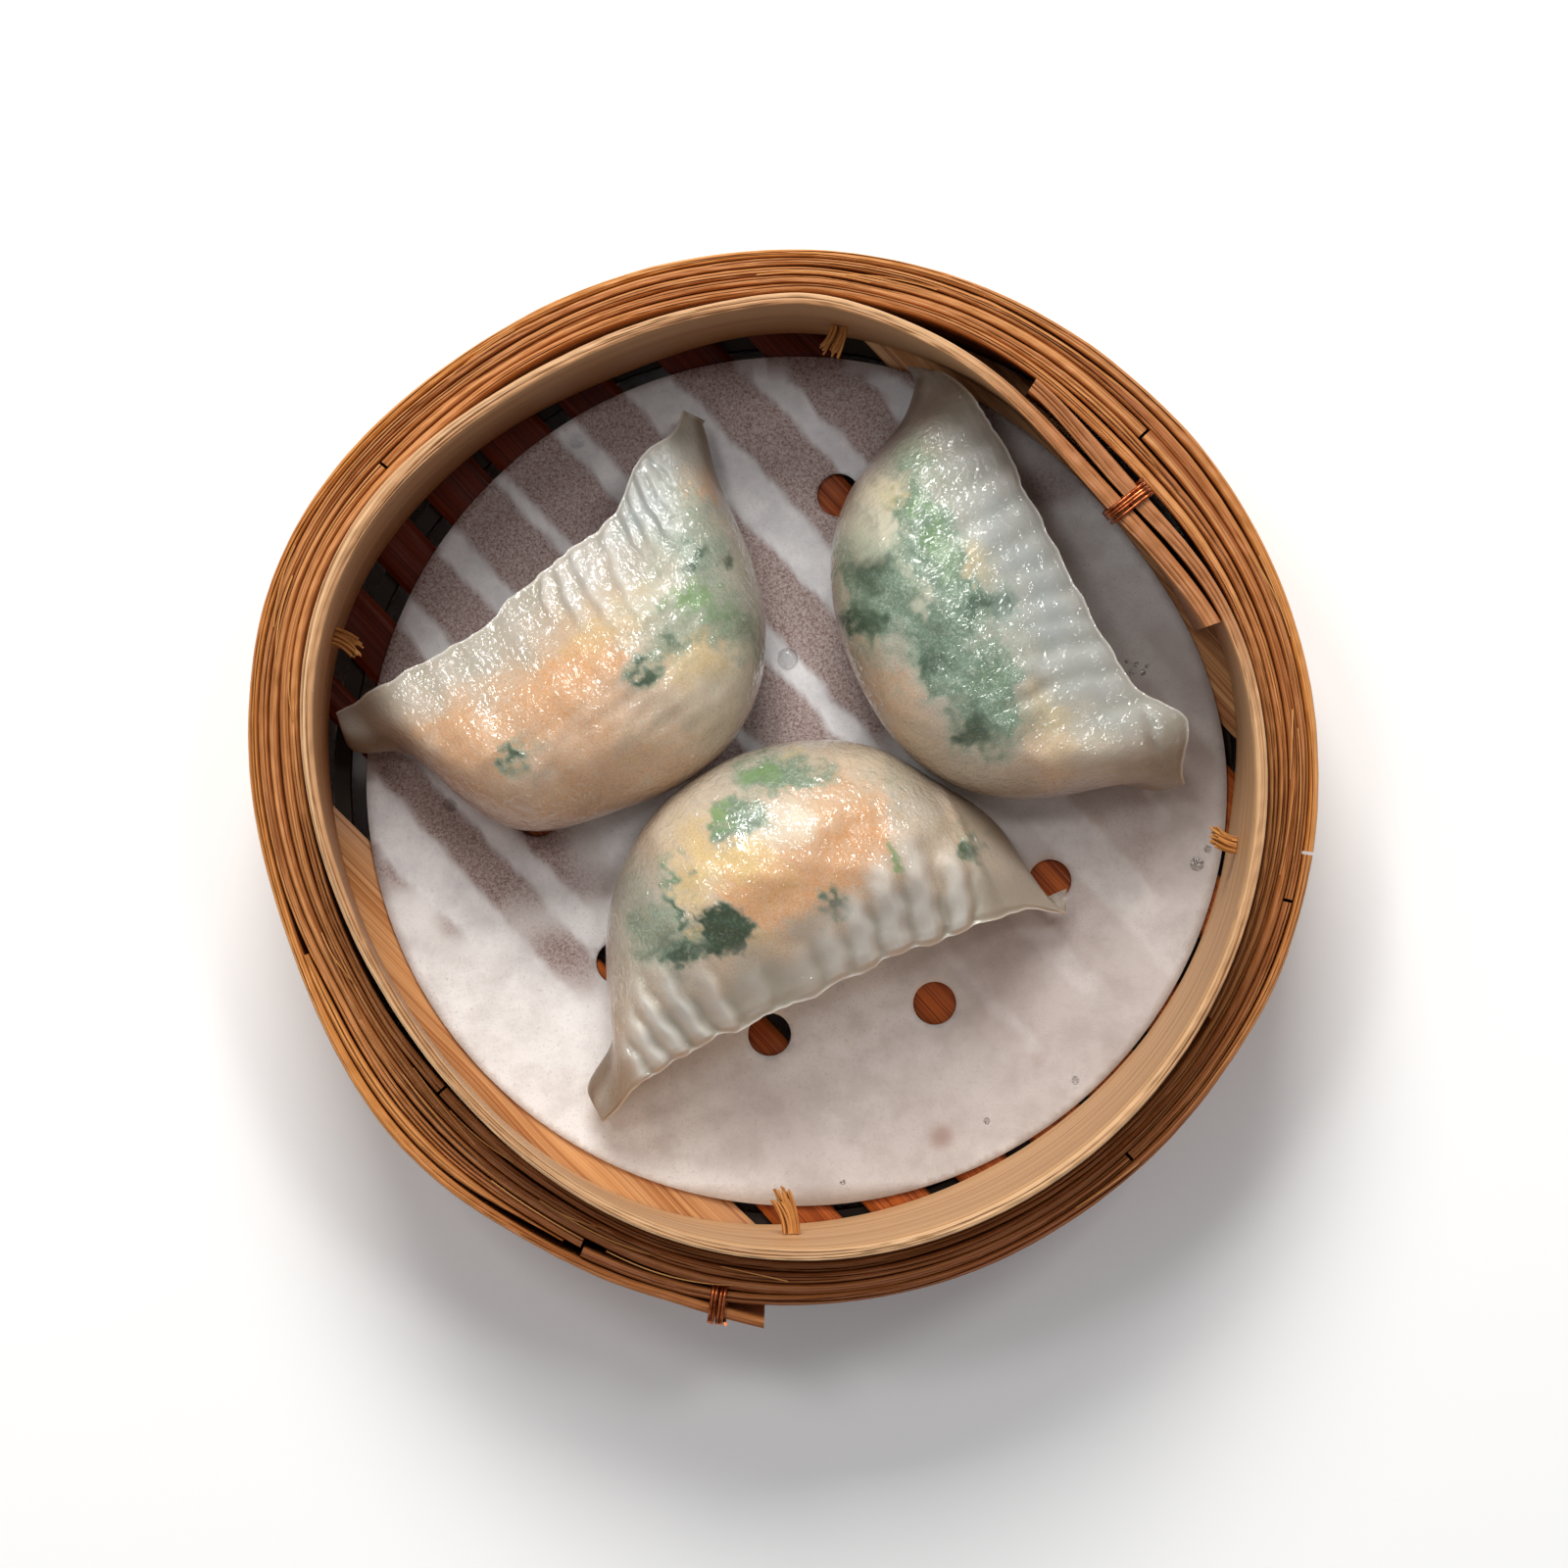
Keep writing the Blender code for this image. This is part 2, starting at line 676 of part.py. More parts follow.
def bind_wrap_end(wraps, material, collection, cutters):
    outer_turn = WRAP_WIRE_ANGLE + 1440
    level = WRAP_HEIGHT - WIRE_DROP
    level_share = level / WRAP_HEIGHT
    outer_layers = layers_within(outer_turn) + WRAP_FILL + patch_room(outer_turn)
    inner_layers = layers_within(outer_turn) - 1
    inner = min(float(wall_face(outer_turn, inner_layers, share)) for share in (level_share, 1))
    outer = max(float(wall_face(outer_turn, outer_layers, share)) for share in (level_share, 1))
    outer += float(flare(outer_turn + WIRE_REACH))
    room = WIRE_THICKNESS + 2 * WIRE_CLEARANCE
    slot = box_cutter(
        "slot_wrap",
        WRAP_WIRE_ANGLE,
        inner - NOTCH_OVERLAP / 2,
        outer + SLOT_OVERHANG,
        SLOT_WIDTH,
        level - SLOT_HEIGHT / 2,
        level + SLOT_HEIGHT / 2,
        cutters,
    )
    notch = box_cutter(
        "notch_wrap",
        WRAP_WIRE_ANGLE,
        inner - room,
        inner + NOTCH_OVERLAP,
        SLOT_WIDTH,
        level - SLOT_HEIGHT,
        WRAP_HEIGHT + SLOT_OVERHANG,
        cutters,
    )
    cut(wraps[6], slot)
    cut(wraps[7], slot)
    cut(wraps[3], notch)
    make_binding("wire_2", WRAP_WIRE_ANGLE, inner, outer, WRAP_HEIGHT, material, collection)


def make_lash_ends(material, collection):
    """Frayed ends of the lashing, tapered and a little bent, that poke through the hoop."""
    for index, (angle, length, lean) in enumerate(LASH_ENDS):
        start = float(hoop_inner(angle, LASH_HEIGHT)) - LASH_GAP
        shares = np.linspace(0, 1, len(LASH_RADII))
        points = [(start - length * s, lean * s * s, LASH_HEIGHT + LASH_RISE * s) for s in shares]
        radii = [radius * 2 for radius in LASH_RADII]
        lash = tube(f"lash_{index + 1}", points, 1.0, material, collection, radii)
        lash.rotation_euler.z = math.radians(angle)


def centre_on_origin(collections):
    """Parents every piece to an empty and moves it so that the footprint is centred."""
    anchor = bpy.data.objects.new("steamer", None)
    bpy.context.scene.collection.objects.link(anchor)
    pieces = [item for collection in collections for item in collection.objects]
    for item in pieces:
        item.parent = anchor
    bpy.context.view_layer.update()
    graph = bpy.context.evaluated_depsgraph_get()
    low, high = np.full(3, np.inf), np.full(3, -np.inf)
    for item in collections[0].objects:
        evaluated = item.evaluated_get(graph)
        mesh = evaluated.to_mesh()
        world = evaluated.matrix_world
        places = np.array([world @ vertex.co for vertex in mesh.vertices])
        low, high = np.minimum(low, places.min(axis=0)), np.maximum(high, places.max(axis=0))
        evaluated.to_mesh_clear()
    anchor.location = (-(low[0] + high[0]) / 2, -(low[1] + high[1]) / 2, 0.0)


def main():
    clear_scene()
    pieces = new_collection("dumpling_steamer")
    cutters = new_collection("cutters")
    bamboo = finish("wrap_bamboo", (0.46, 0.20, 0.07), 0.55)
    hoop_bamboo = finish("hoop_bamboo", (0.56, 0.33, 0.15), 0.5)
    wet_bamboo = finish("slat_bamboo_wet", (0.10, 0.035, 0.014), 0.35)
    pale_bamboo = finish("slat_bamboo_pale", (0.42, 0.22, 0.09), 0.45)
    lash_bamboo = finish("lash_bamboo", (0.58, 0.31, 0.12), 0.6)
    paper = finish("liner_paper", (0.62, 0.55, 0.51), 0.8)
    skin = finish("dumpling_skin", (0.60, 0.52, 0.42), 0.25)
    copper = finish("copper_wire", (0.55, 0.20, 0.08), 0.3, 1.0)

    wraps = make_wraps(bamboo, pieces)
    make_patch(bamboo, pieces)
    hoop = make_hoop(hoop_bamboo, pieces)
    make_support_ring(pale_bamboo, pieces)
    make_slats(wet_bamboo, pale_bamboo, pieces)
    make_liner(paper, pieces)
    for shape in DUMPLINGS:
        make_dumpling(shape, skin, pieces)
    bind_hoop(hoop, copper, pieces, cutters)
    bind_wrap_end(wraps, copper, pieces, cutters)
    make_lash_ends(lash_bamboo, pieces)
    centre_on_origin((pieces, cutters))


main()
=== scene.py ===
# %% [markdown]
# # Prawn and chive dumplings in a bamboo steamer
#
# The real object is one small tier of a bamboo steamer: a wide strip of bamboo wound
# about five times round, an inner hoop that stands above it, a floor of slats, a sheet
# of punched paper, and three thin-skinned dumplings. Its solids already exist in the
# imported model, so this script only dresses them. Every piece below is worked out from
# the same sizes as its solid and lies exactly where that solid is.

# %% Load the fixed frame
import math

import bpy
import numpy as np
from mathutils.geometry import delaunay_2d_cdt
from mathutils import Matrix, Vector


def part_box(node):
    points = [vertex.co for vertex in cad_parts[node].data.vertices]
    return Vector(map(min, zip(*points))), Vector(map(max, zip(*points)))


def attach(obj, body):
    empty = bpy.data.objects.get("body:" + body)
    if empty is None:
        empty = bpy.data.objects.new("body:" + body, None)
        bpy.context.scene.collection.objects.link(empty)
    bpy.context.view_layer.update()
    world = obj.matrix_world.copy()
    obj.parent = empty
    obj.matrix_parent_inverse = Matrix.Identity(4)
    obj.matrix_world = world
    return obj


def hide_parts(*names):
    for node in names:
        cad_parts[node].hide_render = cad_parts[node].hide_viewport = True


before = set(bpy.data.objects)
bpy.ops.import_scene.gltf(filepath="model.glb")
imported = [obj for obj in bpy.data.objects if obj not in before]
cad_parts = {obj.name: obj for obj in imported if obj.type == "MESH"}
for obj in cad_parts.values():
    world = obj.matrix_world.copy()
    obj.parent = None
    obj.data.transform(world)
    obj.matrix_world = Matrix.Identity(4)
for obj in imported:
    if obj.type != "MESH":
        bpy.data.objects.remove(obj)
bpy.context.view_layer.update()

ring_low, ring_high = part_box("support_ring")
ANCHOR = np.array([(ring_low.x + ring_high.x) / 2, (ring_low.y + ring_high.y) / 2, 0.0])
print("solids loaded:", len(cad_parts), "round centre (mm):", np.round(ANCHOR * 1000, 2))

# %% [markdown]
# Most of the shapes are round ones that were pushed a little out of true by hand. Two
# small helpers describe that: a ramp, which is a smooth step from 0 to 1, and a swell,
# which is one smooth bump on an outline. Hand-made things also need unevenness with no
# pattern in it. A sum of sine waves with seeded directions gives a soft random field,
# and it can be asked for at any point of an array at once.

# %% Helpers for smooth shapes
WAVES = 22


def ramp(value, low, high):
    """0 below low, 1 above high, with a smooth rise between."""
    share = np.clip((value - low) / (high - low), 0.0, 1.0)
    return share * share * (3.0 - 2.0 * share)


def swell(position, swells, period=None):
    """Sum of bumps height * exp(-((position - centre) / width) ** 2), wrapped at a period."""
    total = 0.0
    for centre, width, height in swells:
        apart = position - centre
        if period:
            apart = (apart + period / 2) % period - period / 2
        total = total + height * np.exp(-((apart / width) ** 2))
    return total


def polar(angle, radius, level):
    """Points at an angle in degrees, a radius and a height, as an array (..., 3)."""
    turn = np.radians(angle)
    return np.stack(np.broadcast_arrays(radius * np.cos(turn), radius * np.sin(turn), level), axis=-1)


def turned(points, angle):
    """Points (..., 3) turned about +Z by an angle in degrees."""
    cos, sin = math.cos(math.radians(angle)), math.sin(math.radians(angle))
    x, y, z = points[..., 0], points[..., 1], points[..., 2]
    return np.stack([x * cos - y * sin, x * sin + y * cos, z], axis=-1)


def lengths(points):
    """Distance run along a line of points, from 0 at the first."""
    return np.concatenate([[0], np.cumsum(np.linalg.norm(np.diff(points, axis=0), axis=1))])


def unevenness(x, y, size, seed):
    """A soft random field between about -1 and 1: a mean of cosines in random directions."""
    draw = np.random.default_rng(seed)
    heading = draw.uniform(0, math.tau, WAVES)
    length = size * draw.uniform(0.7, 1.8, WAVES)
    phase = draw.uniform(0, math.tau, WAVES)
    total = 0.0
    for wave in range(WAVES):
        along = x * math.cos(heading[wave]) + y * math.sin(heading[wave])
        total = total + np.cos(math.tau * along / length[wave] + phase[wave])
    return total * math.sqrt(2 / WAVES) * 0.7


print("ramp at its middle:", ramp(0.5, 0, 1))

# %% [markdown]
# Nearly every piece is a grid of points: rows along the piece, and points round it. A
# grid can be turned into faces with array arithmetic alone. The helpers close the grid
# round its section, cap both ends, and check by the signed volume that the faces point
# outwards. A map in real metres, called Grain, goes with each piece, so that fibres
# follow a bent strip.

# %% Helper: faces of a grid
def grid_faces(rows, points):
    """Corner numbers of each quad, and the matching row and point counters for the map."""
    row, point = np.meshgrid(np.arange(rows - 1), np.arange(points), indexing="ij")
    after = (point + 1) % points
    quads = np.stack([row * points + point, row * points + after,
                      (row + 1) * points + after, (row + 1) * points + point], axis=-1)
    map_rows = np.stack([row, row, row + 1, row + 1], axis=-1)
    map_points = np.stack([point, point + 1, point + 1, point], axis=-1)
    return [item.reshape(-1, 4) for item in (quads, map_rows, map_points)]


def volume_sign(places, quads):
    """Sign of the volume that the quads enclose: the sum of a . (b x c) over their triangles."""
    middle = places.mean(axis=0)
    a, b, c, d = (places[quads[:, corner]] - middle for corner in range(4))
    return np.sign(np.einsum("ij,ij->", a, np.cross(b, c)) + np.einsum("ij,ij->", a, np.cross(c, d)))


def outward_faces(places, rows, points):
    """Quads, map counters and two end caps of a closed tube, turned so that all face outwards."""
    faces = grid_faces(rows, points)
    caps = np.stack([np.arange(points), np.arange(points)[::-1] + (rows - 1) * points])
    if volume_sign(places, faces[0]) < 0:
        return *[item[:, ::-1] for item in faces], caps
    return *faces, caps[:, ::-1]


print("faces of a 3 by 4 tube:", len(grid_faces(3, 4)[0]))

# %% [markdown]
# A piece is made from points, faces, its map, its masks and its finish in one go. Then it
# is settled: it rides on the one body and stands in the place of its solid, which is hidden.

# %% Helper: a piece from its faces
def make_piece(name, places, faces, material, masks, chart=None, sharp=70):
    """An object from points and faces, with its map and one attribute for each mask."""
    mesh = bpy.data.meshes.new(name)
    mesh.from_pydata((places + ANCHOR).tolist(), [], faces)
    if chart is not None:
        mesh.uv_layers.new(name="Grain").data.foreach_set("uv", chart.astype(np.float32).ravel())
    for title, value in masks.items():
        attribute = mesh.attributes.new(title, "FLOAT", "POINT")
        attribute.data.foreach_set("value", value.astype(np.float32).ravel())
    mesh.shade_smooth()
    mesh.set_sharp_from_angle(angle=math.radians(sharp))
    mesh.materials.append(material)
    piece = bpy.data.objects.new(name, mesh)
    bpy.context.scene.collection.objects.link(piece)
    return piece


def build(name, grid, along, across, material, masks):
    """One closed piece from a grid of points (rows, points, 3), with its map and its masks."""
    shape = grid.shape[:2]
    places = grid.reshape(-1, 3)
    quads, map_rows, map_points, caps = outward_faces(places, *shape)
    sides = np.stack([along[map_rows], across[map_points]], axis=-1).reshape(-1, 2)
    ends = np.tile([along[0], across[0]], (caps.size, 1))
    masks = {title: np.broadcast_to(value, shape) for title, value in masks.items()}
    faces = quads.tolist() + caps.tolist()
    return make_piece(name, places, faces, material, masks, np.concatenate([sides, ends]))


def settle(piece, slot, *nodes):
    """The piece rides on the one body and stands for the solids it dresses, which are hidden."""
    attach(piece, "root")
    if nodes:
        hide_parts(*nodes)
    return piece


print("piece helpers ready")

# %% [markdown]
# Materials are built from nodes. These helpers keep that readable: finish opens a new
# material, and the others add nodes to the tree that was opened last. Fill sets or links
# the sockets of a node, and the rest name the steps that every finish uses, such as
# mixing two colours by a mask. Colours are written as the eye names them, in screen
# values from 0 to 255, and turned into light values.

# %% Helpers for material nodes
bench = {}


def tone(red, green, blue):
    """A screen colour as linear light: each channel to the power 2.2, near enough."""
    return (*(((value / 255.0) ** 2.2) for value in (red, green, blue)), 1.0)


def fill(node, sockets):
    """Sets each socket to a value, or links it where the value is a socket."""
    for title, value in sockets.items():
        if isinstance(value, bpy.types.NodeSocket):
            bench["tree"].links.new(value, node.inputs[title])
        else:
            node.inputs[title].default_value = value


def add(kind, sockets, **settings):
    """A new node with its settings and its sockets."""
    node = bench["tree"].nodes.new(kind)
    for title, value in settings.items():
        setattr(node, title, value)
    fill(node, sockets)
    return node


def finish(name):
    """A new material and its shader; its tree is the one that is built in from here on."""
    material = bpy.data.materials.new(name)
    material.use_nodes = True
    bench["tree"] = material.node_tree
    return material, material.node_tree.nodes["Principled BSDF"]


def plus(first, second):
    return add("ShaderNodeMath", {0: first, 1: second}, operation="ADD").outputs[0]


def times(first, second):
    return add("ShaderNodeMath", {0: first, 1: second}, operation="MULTIPLY").outputs[0]


def fade(value, low, high, start=0.0, end=1.0):
    """A smooth step of a value between two limits, put out between start and end."""
    sockets = {"Value": value, "From Min": low, "From Max": high, "To Min": start, "To Max": end}
    return add("ShaderNodeMapRange", sockets, interpolation_type="SMOOTHSTEP").outputs[0]


def blend(factor, first, second, blend_type="MIX"):
    """Two colours mixed by a mask."""
    sockets = {0: factor, 6: first, 7: second}
    return add("ShaderNodeMix", sockets, data_type="RGBA", blend_type=blend_type).outputs[2]


def layered(colour, *layers):
    """Colours laid over the first one in turn; a layer is a mask, a screen colour and a blend type."""
    for factor, paint, *blend_type in layers:
        colour = blend(factor, colour, tone(*paint), *blend_type)
    return colour


def in_place():
    """Coordinates of the object itself, in metres."""
    return add("ShaderNodeTexCoord", {}).outputs["Object"]


def grain_map():
    """The piece's own map: metres along it and across it."""
    return add("ShaderNodeUVMap", {}, uv_map="Grain").outputs[0]


def stretched(vector, scale, place=(0.0, 0.0, 0.0)):
    """Coordinates multiplied by a scale for each axis, after a shift."""
    return add("ShaderNodeMapping", {"Vector": vector, "Location": place, "Scale": scale}).outputs[0]


def noise(vector, scale, detail, roughness=0.5, distortion=0.0):
    sockets = {"Vector": vector, "Scale": scale, "Detail": detail, "Roughness": roughness}
    return add("ShaderNodeTexNoise", {**sockets, "Distortion": distortion}).outputs[0]


def mask(title):
    """A mask that was stored with the mesh."""
    return add("ShaderNodeAttribute", {}, attribute_name=title).outputs["Fac"]


def relief(height, distance, **sockets):
    """Fine relief: a height field that tilts the surface's normals."""
    sockets = {"Height": height, "Distance": distance, "Strength": 1.0, **sockets}
    return add("ShaderNodeBump", sockets).outputs[0]


print("warm white as light:", np.round(tone(240, 235, 230)[:3], 3))

# %% [markdown]
# Bamboo is the same everywhere in the basket: straight pale fibres with darker tissue
# between them, and slow changes of colour along the stem. One node group makes that
# pattern for every bamboo finish. It stretches noise many hundred times along the fibre
# and puts out four values: fine fibres, broad bands, slow blotches and the relief.

# %% Node group: bamboo grain
bench["tree"] = grain_group = bpy.data.node_groups.new("bamboo_grain", "ShaderNodeTree")
for title, kind in (("Vector", "Vector"), ("Fibres per metre", "Float"), ("Fibre length", "Float")):
    grain_group.interface.new_socket(title, in_out="INPUT", socket_type="NodeSocket" + kind)
for title in ("Fibres", "Bands", "Blotches", "Relief"):
    grain_group.interface.new_socket(title, in_out="OUTPUT", socket_type="NodeSocketFloat")

given = add("NodeGroupInput", {}).outputs
scale = add("ShaderNodeCombineXYZ", {0: given["Fibre length"], 1: given["Fibres per metre"]}).outputs[0]
laid = add("ShaderNodeVectorMath", {0: given["Vector"], 1: scale}, operation="MULTIPLY").outputs[0]
fine = noise(laid, 1.0, 3.0, 0.65, 0.15)
broad = noise(stretched(laid, (0.35, 0.22, 1.0), (3.1, 7.7, 0.0)), 1.0, 2.0, 0.55, 0.2)
slow = noise(stretched(laid, (1.6, 0.05, 1.0), (9.2, 1.3, 0.0)), 1.0, 3.0, 0.6)
add("NodeGroupOutput", {"Fibres": fade(fine, 0.34, 0.66), "Bands": fade(broad, 0.36, 0.64),
                        "Blotches": fade(slow, 0.35, 0.68),
                        "Relief": plus(times(fine, 0.6), times(broad, 0.4))})
print("grain group nodes:", len(grain_group.nodes))

# %% [markdown]
# Each bamboo finish takes that grain and lays its own colours over it. The wound strips
# have aged to a warm orange brown, with dark lines where the tissue between the fibres
# has opened. The mask called groove comes from the mesh and is 1 in the valleys between
# fibre bands. The hoop is paler and smoother, and the middle slats are soaked dark. The
# mask called soaked comes from the mesh and multiplies a darker tone in. In the hoop's lap
# it is real damp. On the lower side of the winding, on the hoop's upper-left inner face
# and at the far ends of the middle slats it is painted shade, where the hoop casts shade.

# %% Bamboo finishes
AMBER = (212, 138, 62)
# Tones that soaked multiplies in: for the hoop, real damp in its lap and painted shade on its upper-left
# inner face; for the slats, painted shade at their far ends.
HOOP_DAMP_AND_SHADE = (214, 176, 146)
SLAT_SHADE_TONE = (146, 104, 70)


def bamboo(name, pale, mid, deep, crack, fibres_per_metre, fibre_length, roughness, depth, gloss=0.4,
           damp=(170, 120, 84)):
    """A bamboo finish: deep to mid by the blotches, pale fibres on top, cracks in the grooves."""
    material, shader = finish(name)
    sockets = {"Vector": grain_map(), "Fibres per metre": fibres_per_metre, "Fibre length": fibre_length}
    grain = bench["tree"].nodes.new("ShaderNodeGroup")
    grain.node_tree = grain_group
    fill(grain, sockets)
    out = grain.outputs
    fill(shader, {
        "Base Color": layered(
            blend(out["Blotches"], tone(*mid), tone(*deep)),
            (times(mask("amber"), 0.75), AMBER), (times(out["Bands"], 0.65), pale),
            (fade(out["Fibres"], 0.55, 1.0, 0.0, 0.6), pale),
            (fade(out["Fibres"], 0.42, 0.05, 0.0, 0.7), deep),
            # soaked multiplies the damp tone in: real damp in the hoop's lap, painted shade elsewhere.
            (mask("soaked"), damp, "MULTIPLY"), (mask("groove"), crack)),
        "Roughness": fade(out["Fibres"], 0.0, 1.0, roughness + 0.12, roughness - 0.05),
        "Specular IOR Level": gloss,
        "Normal": relief(out["Relief"], depth)})
    return material


wrap_bamboo = bamboo("wrap_bamboo", (214, 152, 92), (178, 108, 56), (138, 74, 34), (52, 24, 10),
                     3600.0, 20.0, 0.50, 0.00022)
hoop_bamboo = bamboo("hoop_bamboo", (226, 186, 140), (202, 154, 108), (176, 122, 78), (96, 56, 28),
                     4200.0, 10.0, 0.48, 0.00012, damp=HOOP_DAMP_AND_SHADE)
wet_bamboo = bamboo("slat_bamboo_wet", (176, 92, 42), (144, 70, 30), (100, 44, 18), (48, 18, 8),
                    3000.0, 16.0, 0.46, 0.00008, 0.15, SLAT_SHADE_TONE)
pale_bamboo = bamboo("slat_bamboo_pale", (226, 172, 116), (196, 132, 78), (146, 84, 40), (120, 62, 28),
                     1900.0, 14.0, 0.45, 0.00010)
# The support ring is a near-black grey: painted shade, seen through the gaps between the slats.
ring_bamboo = bamboo("ring_bamboo", (64, 56, 50), (52, 44, 40), (40, 32, 28), (40, 32, 28),
                     3000.0, 16.0, 0.7, 0.00002, 0.1)
lash_bamboo = bamboo("lash_bamboo", (226, 168, 100), (196, 130, 66), (150, 86, 36), (110, 60, 26),
                     9000.0, 60.0, 0.6, 0.0001)
print("bamboo finishes:", [item.name for item in bpy.data.materials if "bamboo" in item.name])

# %% [markdown]
# The wall is one bamboo strip wound almost five times, made of several lengths that
# butt end to end. It could be five nested tubes, but then each layer would stay at the
# same depth. In the real one a layer climbs outwards at the butt joint, so the layer
# count is a function of how far the strip has turned.

# %% Sizes of the wound wall
WRAP_HEIGHT = 0.0410
WRAP_TURNS = 5
WRAP_FILL = 0.9
WRAP_CUTS = (-29.0, 222.0, 501.5, 763.7, 1032.5, 1066.5, 1326.5, 1432.0, 1708.0)
WRAP_BUTT_GAP = 0.35
WRAP_LIFTED_SHARES = {6: 0.8, 7: 1.0}
WRAP_TOP_STEPS = (0.0, -0.0005, 0.0002, -0.0003, 0.0, -0.0004, 0.0001, -0.0002)
START_RAMP = (-54.0, 6.0)
INNER_TOP = 0.0691
INNER_TOP_SWELLS = ((44, 20, -0.0027), (157, 19, 0.00255), (220, 39, -0.00445), (87, 6, 0.00065))
INNER_FOOT = 0.0683
INNER_FOOT_SWELLS = ((5, 22, 0.0010), (48, 30, 0.0028), (165, 26, 0.0022), (244, 20, 0.0008))
OUTER_TOP = 0.0764
OUTER_TOP_SWELLS = ((154, 21, 0.0024), (201, 21, -0.0022), (115, 60, -0.0008), (242, 15, -0.0013))
OUTER_FOOT_SHARE = 0.6
OUTER_FOOT_SWELLS = ((45, 35, 0.0015),)
FLARE_FROM = 1697.0
FLARE_RISE = 0.0018
PATCH_RISE = (190.0, 208.0)
PATCH_FALL = (238.0, 266.0)
PATCH_ENDS = (200.0, 245.0)
PATCH_THIN_FROM = 226.0
PATCH_LAYERS = 4.03
PATCH_FILL = 0.85
PATCH_TAPER = 0.85


def inner_top(angle):
    return INNER_TOP + swell(angle, INNER_TOP_SWELLS, 360)


def inner_foot(angle):
    return INNER_FOOT + swell(angle, INNER_FOOT_SWELLS, 360)


def outer_top(angle):
    return OUTER_TOP + swell(angle, OUTER_TOP_SWELLS, 360)


def outer_foot(angle):
    leaning = OUTER_FOOT_SHARE * (outer_top(angle) - OUTER_TOP)
    return OUTER_TOP + leaning + swell(angle, OUTER_FOOT_SWELLS, 360)


def patch_room(angle):
    """Share of one layer that the packing strip takes up at this angle."""
    around = np.mod(angle, 360)
    return ramp(around, *PATCH_RISE) * (1.0 - ramp(around, *PATCH_FALL))


def layers_within(turn_angle):
    """How many strip layers lie between the hollow and this point of the strip."""
    return sum(ramp(turn_angle - 360 * turns, *START_RAMP) for turns in range(1, WRAP_TURNS + 1))


def wall_face(turn_angle, layers, height_share):
    """Radius of the wall after a number of layers: a straight line from its foot to its top."""
    share = layers / (WRAP_TURNS + patch_room(turn_angle))
    foot = inner_foot(turn_angle) + share * (outer_foot(turn_angle) - inner_foot(turn_angle))
    top = inner_top(turn_angle) + share * (outer_top(turn_angle) - inner_top(turn_angle))
    return foot + (top - foot) * height_share


def flare(turn_angle):
    """How far the free end of the outermost strip stands off the wall."""
    return FLARE_RISE * np.clip((turn_angle - FLARE_FROM) / (WRAP_CUTS[-1] - FLARE_FROM), 0, 1) ** 1.5


print("layers inside the last strip's end:", round(float(layers_within(WRAP_CUTS[-1])), 2))

# %% [markdown]
# Seen from above, the top edge of every layer is itself split into two or three fibre
# bands with dark lines between them. So the section of a strip is a narrow rectangle
# whose top has small valleys, and the valleys wander sideways along the strip. The
# section is carried along the spiral, and the same function serves the hoop.

# %% Section of a bent strip
TOP_POINTS_ACROSS = 17
FACE_POINTS = 9
STRIP_STEP = 0.6
VALLEY_WANDER, VALLEY_WIDTH, VALLEY_DEPTH = 34.0, 21.0, 47.0


def strip_profile():
    """Shares (across, up, on top) round the section: up the outside, over the top, down the inside."""
    rise = np.linspace(0, 1, FACE_POINTS)
    over = np.linspace(1, 0, TOP_POINTS_ACROSS)
    across = np.concatenate([np.ones(FACE_POINTS - 1), over, np.zeros(FACE_POINTS - 1), [0.5]])
    up = np.concatenate([rise[:-1], np.ones(TOP_POINTS_ACROSS), rise[::-1][1:], [0.0]])
    on_top = np.concatenate([np.zeros(FACE_POINTS - 1), np.ones(TOP_POINTS_ACROSS), np.zeros(FACE_POINTS)])
    return across, up, on_top


def edge_valleys(turn, across, bands, seed):
    """Depth, 0 to 1, of the lines between fibre bands on a top edge; the lines wander with the turn."""
    depth = 0.0
    for band in range(1, bands):
        centre = band / bands + 0.10 * unevenness(turn, 0, VALLEY_WANDER, seed + band)
        width = np.maximum(0.045 + 0.02 * unevenness(turn, 0, VALLEY_WIDTH, seed + 40 + band), 0.02)
        strength = np.clip(0.55 + 0.6 * unevenness(turn, 0, VALLEY_DEPTH, seed + 80 + band), 0, 1)
        depth = depth + strength * np.exp(-(((across - centre) / width) ** 2))
    return np.clip(depth, 0, 1)


def strip_surface(turn, radius_at, level_low, level_high, bands, seed, arris=0.00050, valley=0.00045):
    """Grid of a strip: radius_at(across, up) gives radii, and its top edge is rounded, split and uneven."""
    across, up, on_top = strip_profile()
    turn = turn[:, None]
    round_off = arris * np.abs(2 * across - 1) ** 3.5
    valleys = on_top * edge_valleys(turn, across, bands, seed)
    ragged = 0.00010 * unevenness(turn, 3 * across, 2.4, seed + 7)
    ragged = ragged + 0.00016 * unevenness(turn, 0, 11.0, seed + 8)
    level = level_low + (level_high - level_low) * up + on_top * (ragged - round_off - valley * valleys)
    return polar(turn, radius_at(across, up), level), valleys


def strip_map(grid, offset):
    """Distances for the Grain map: along the strip, and round its section at the first row."""
    return lengths(grid[:, 0]) + offset, lengths(np.concatenate([grid[0], grid[0, :1]]))


print("points round one strip section:", len(strip_profile()[0]))

# %% [markdown]
# Eight lengths of strip make the wall, and each is a piece of its own. Split bamboo is
# never quite even, so each length is a little thinner here and there and leans in its
# layer. One more short strip is packing, where the outer layers stand off the others.

# %% Wind the strips
AMBER_LAYERS = (3.2, 4.2)
# Painted shade on the lower side of the winding, where the taller hoop casts its shadow.
WRAP_SHADOW_SIDE = ((205.0, 245.0), (300.0, 335.0))


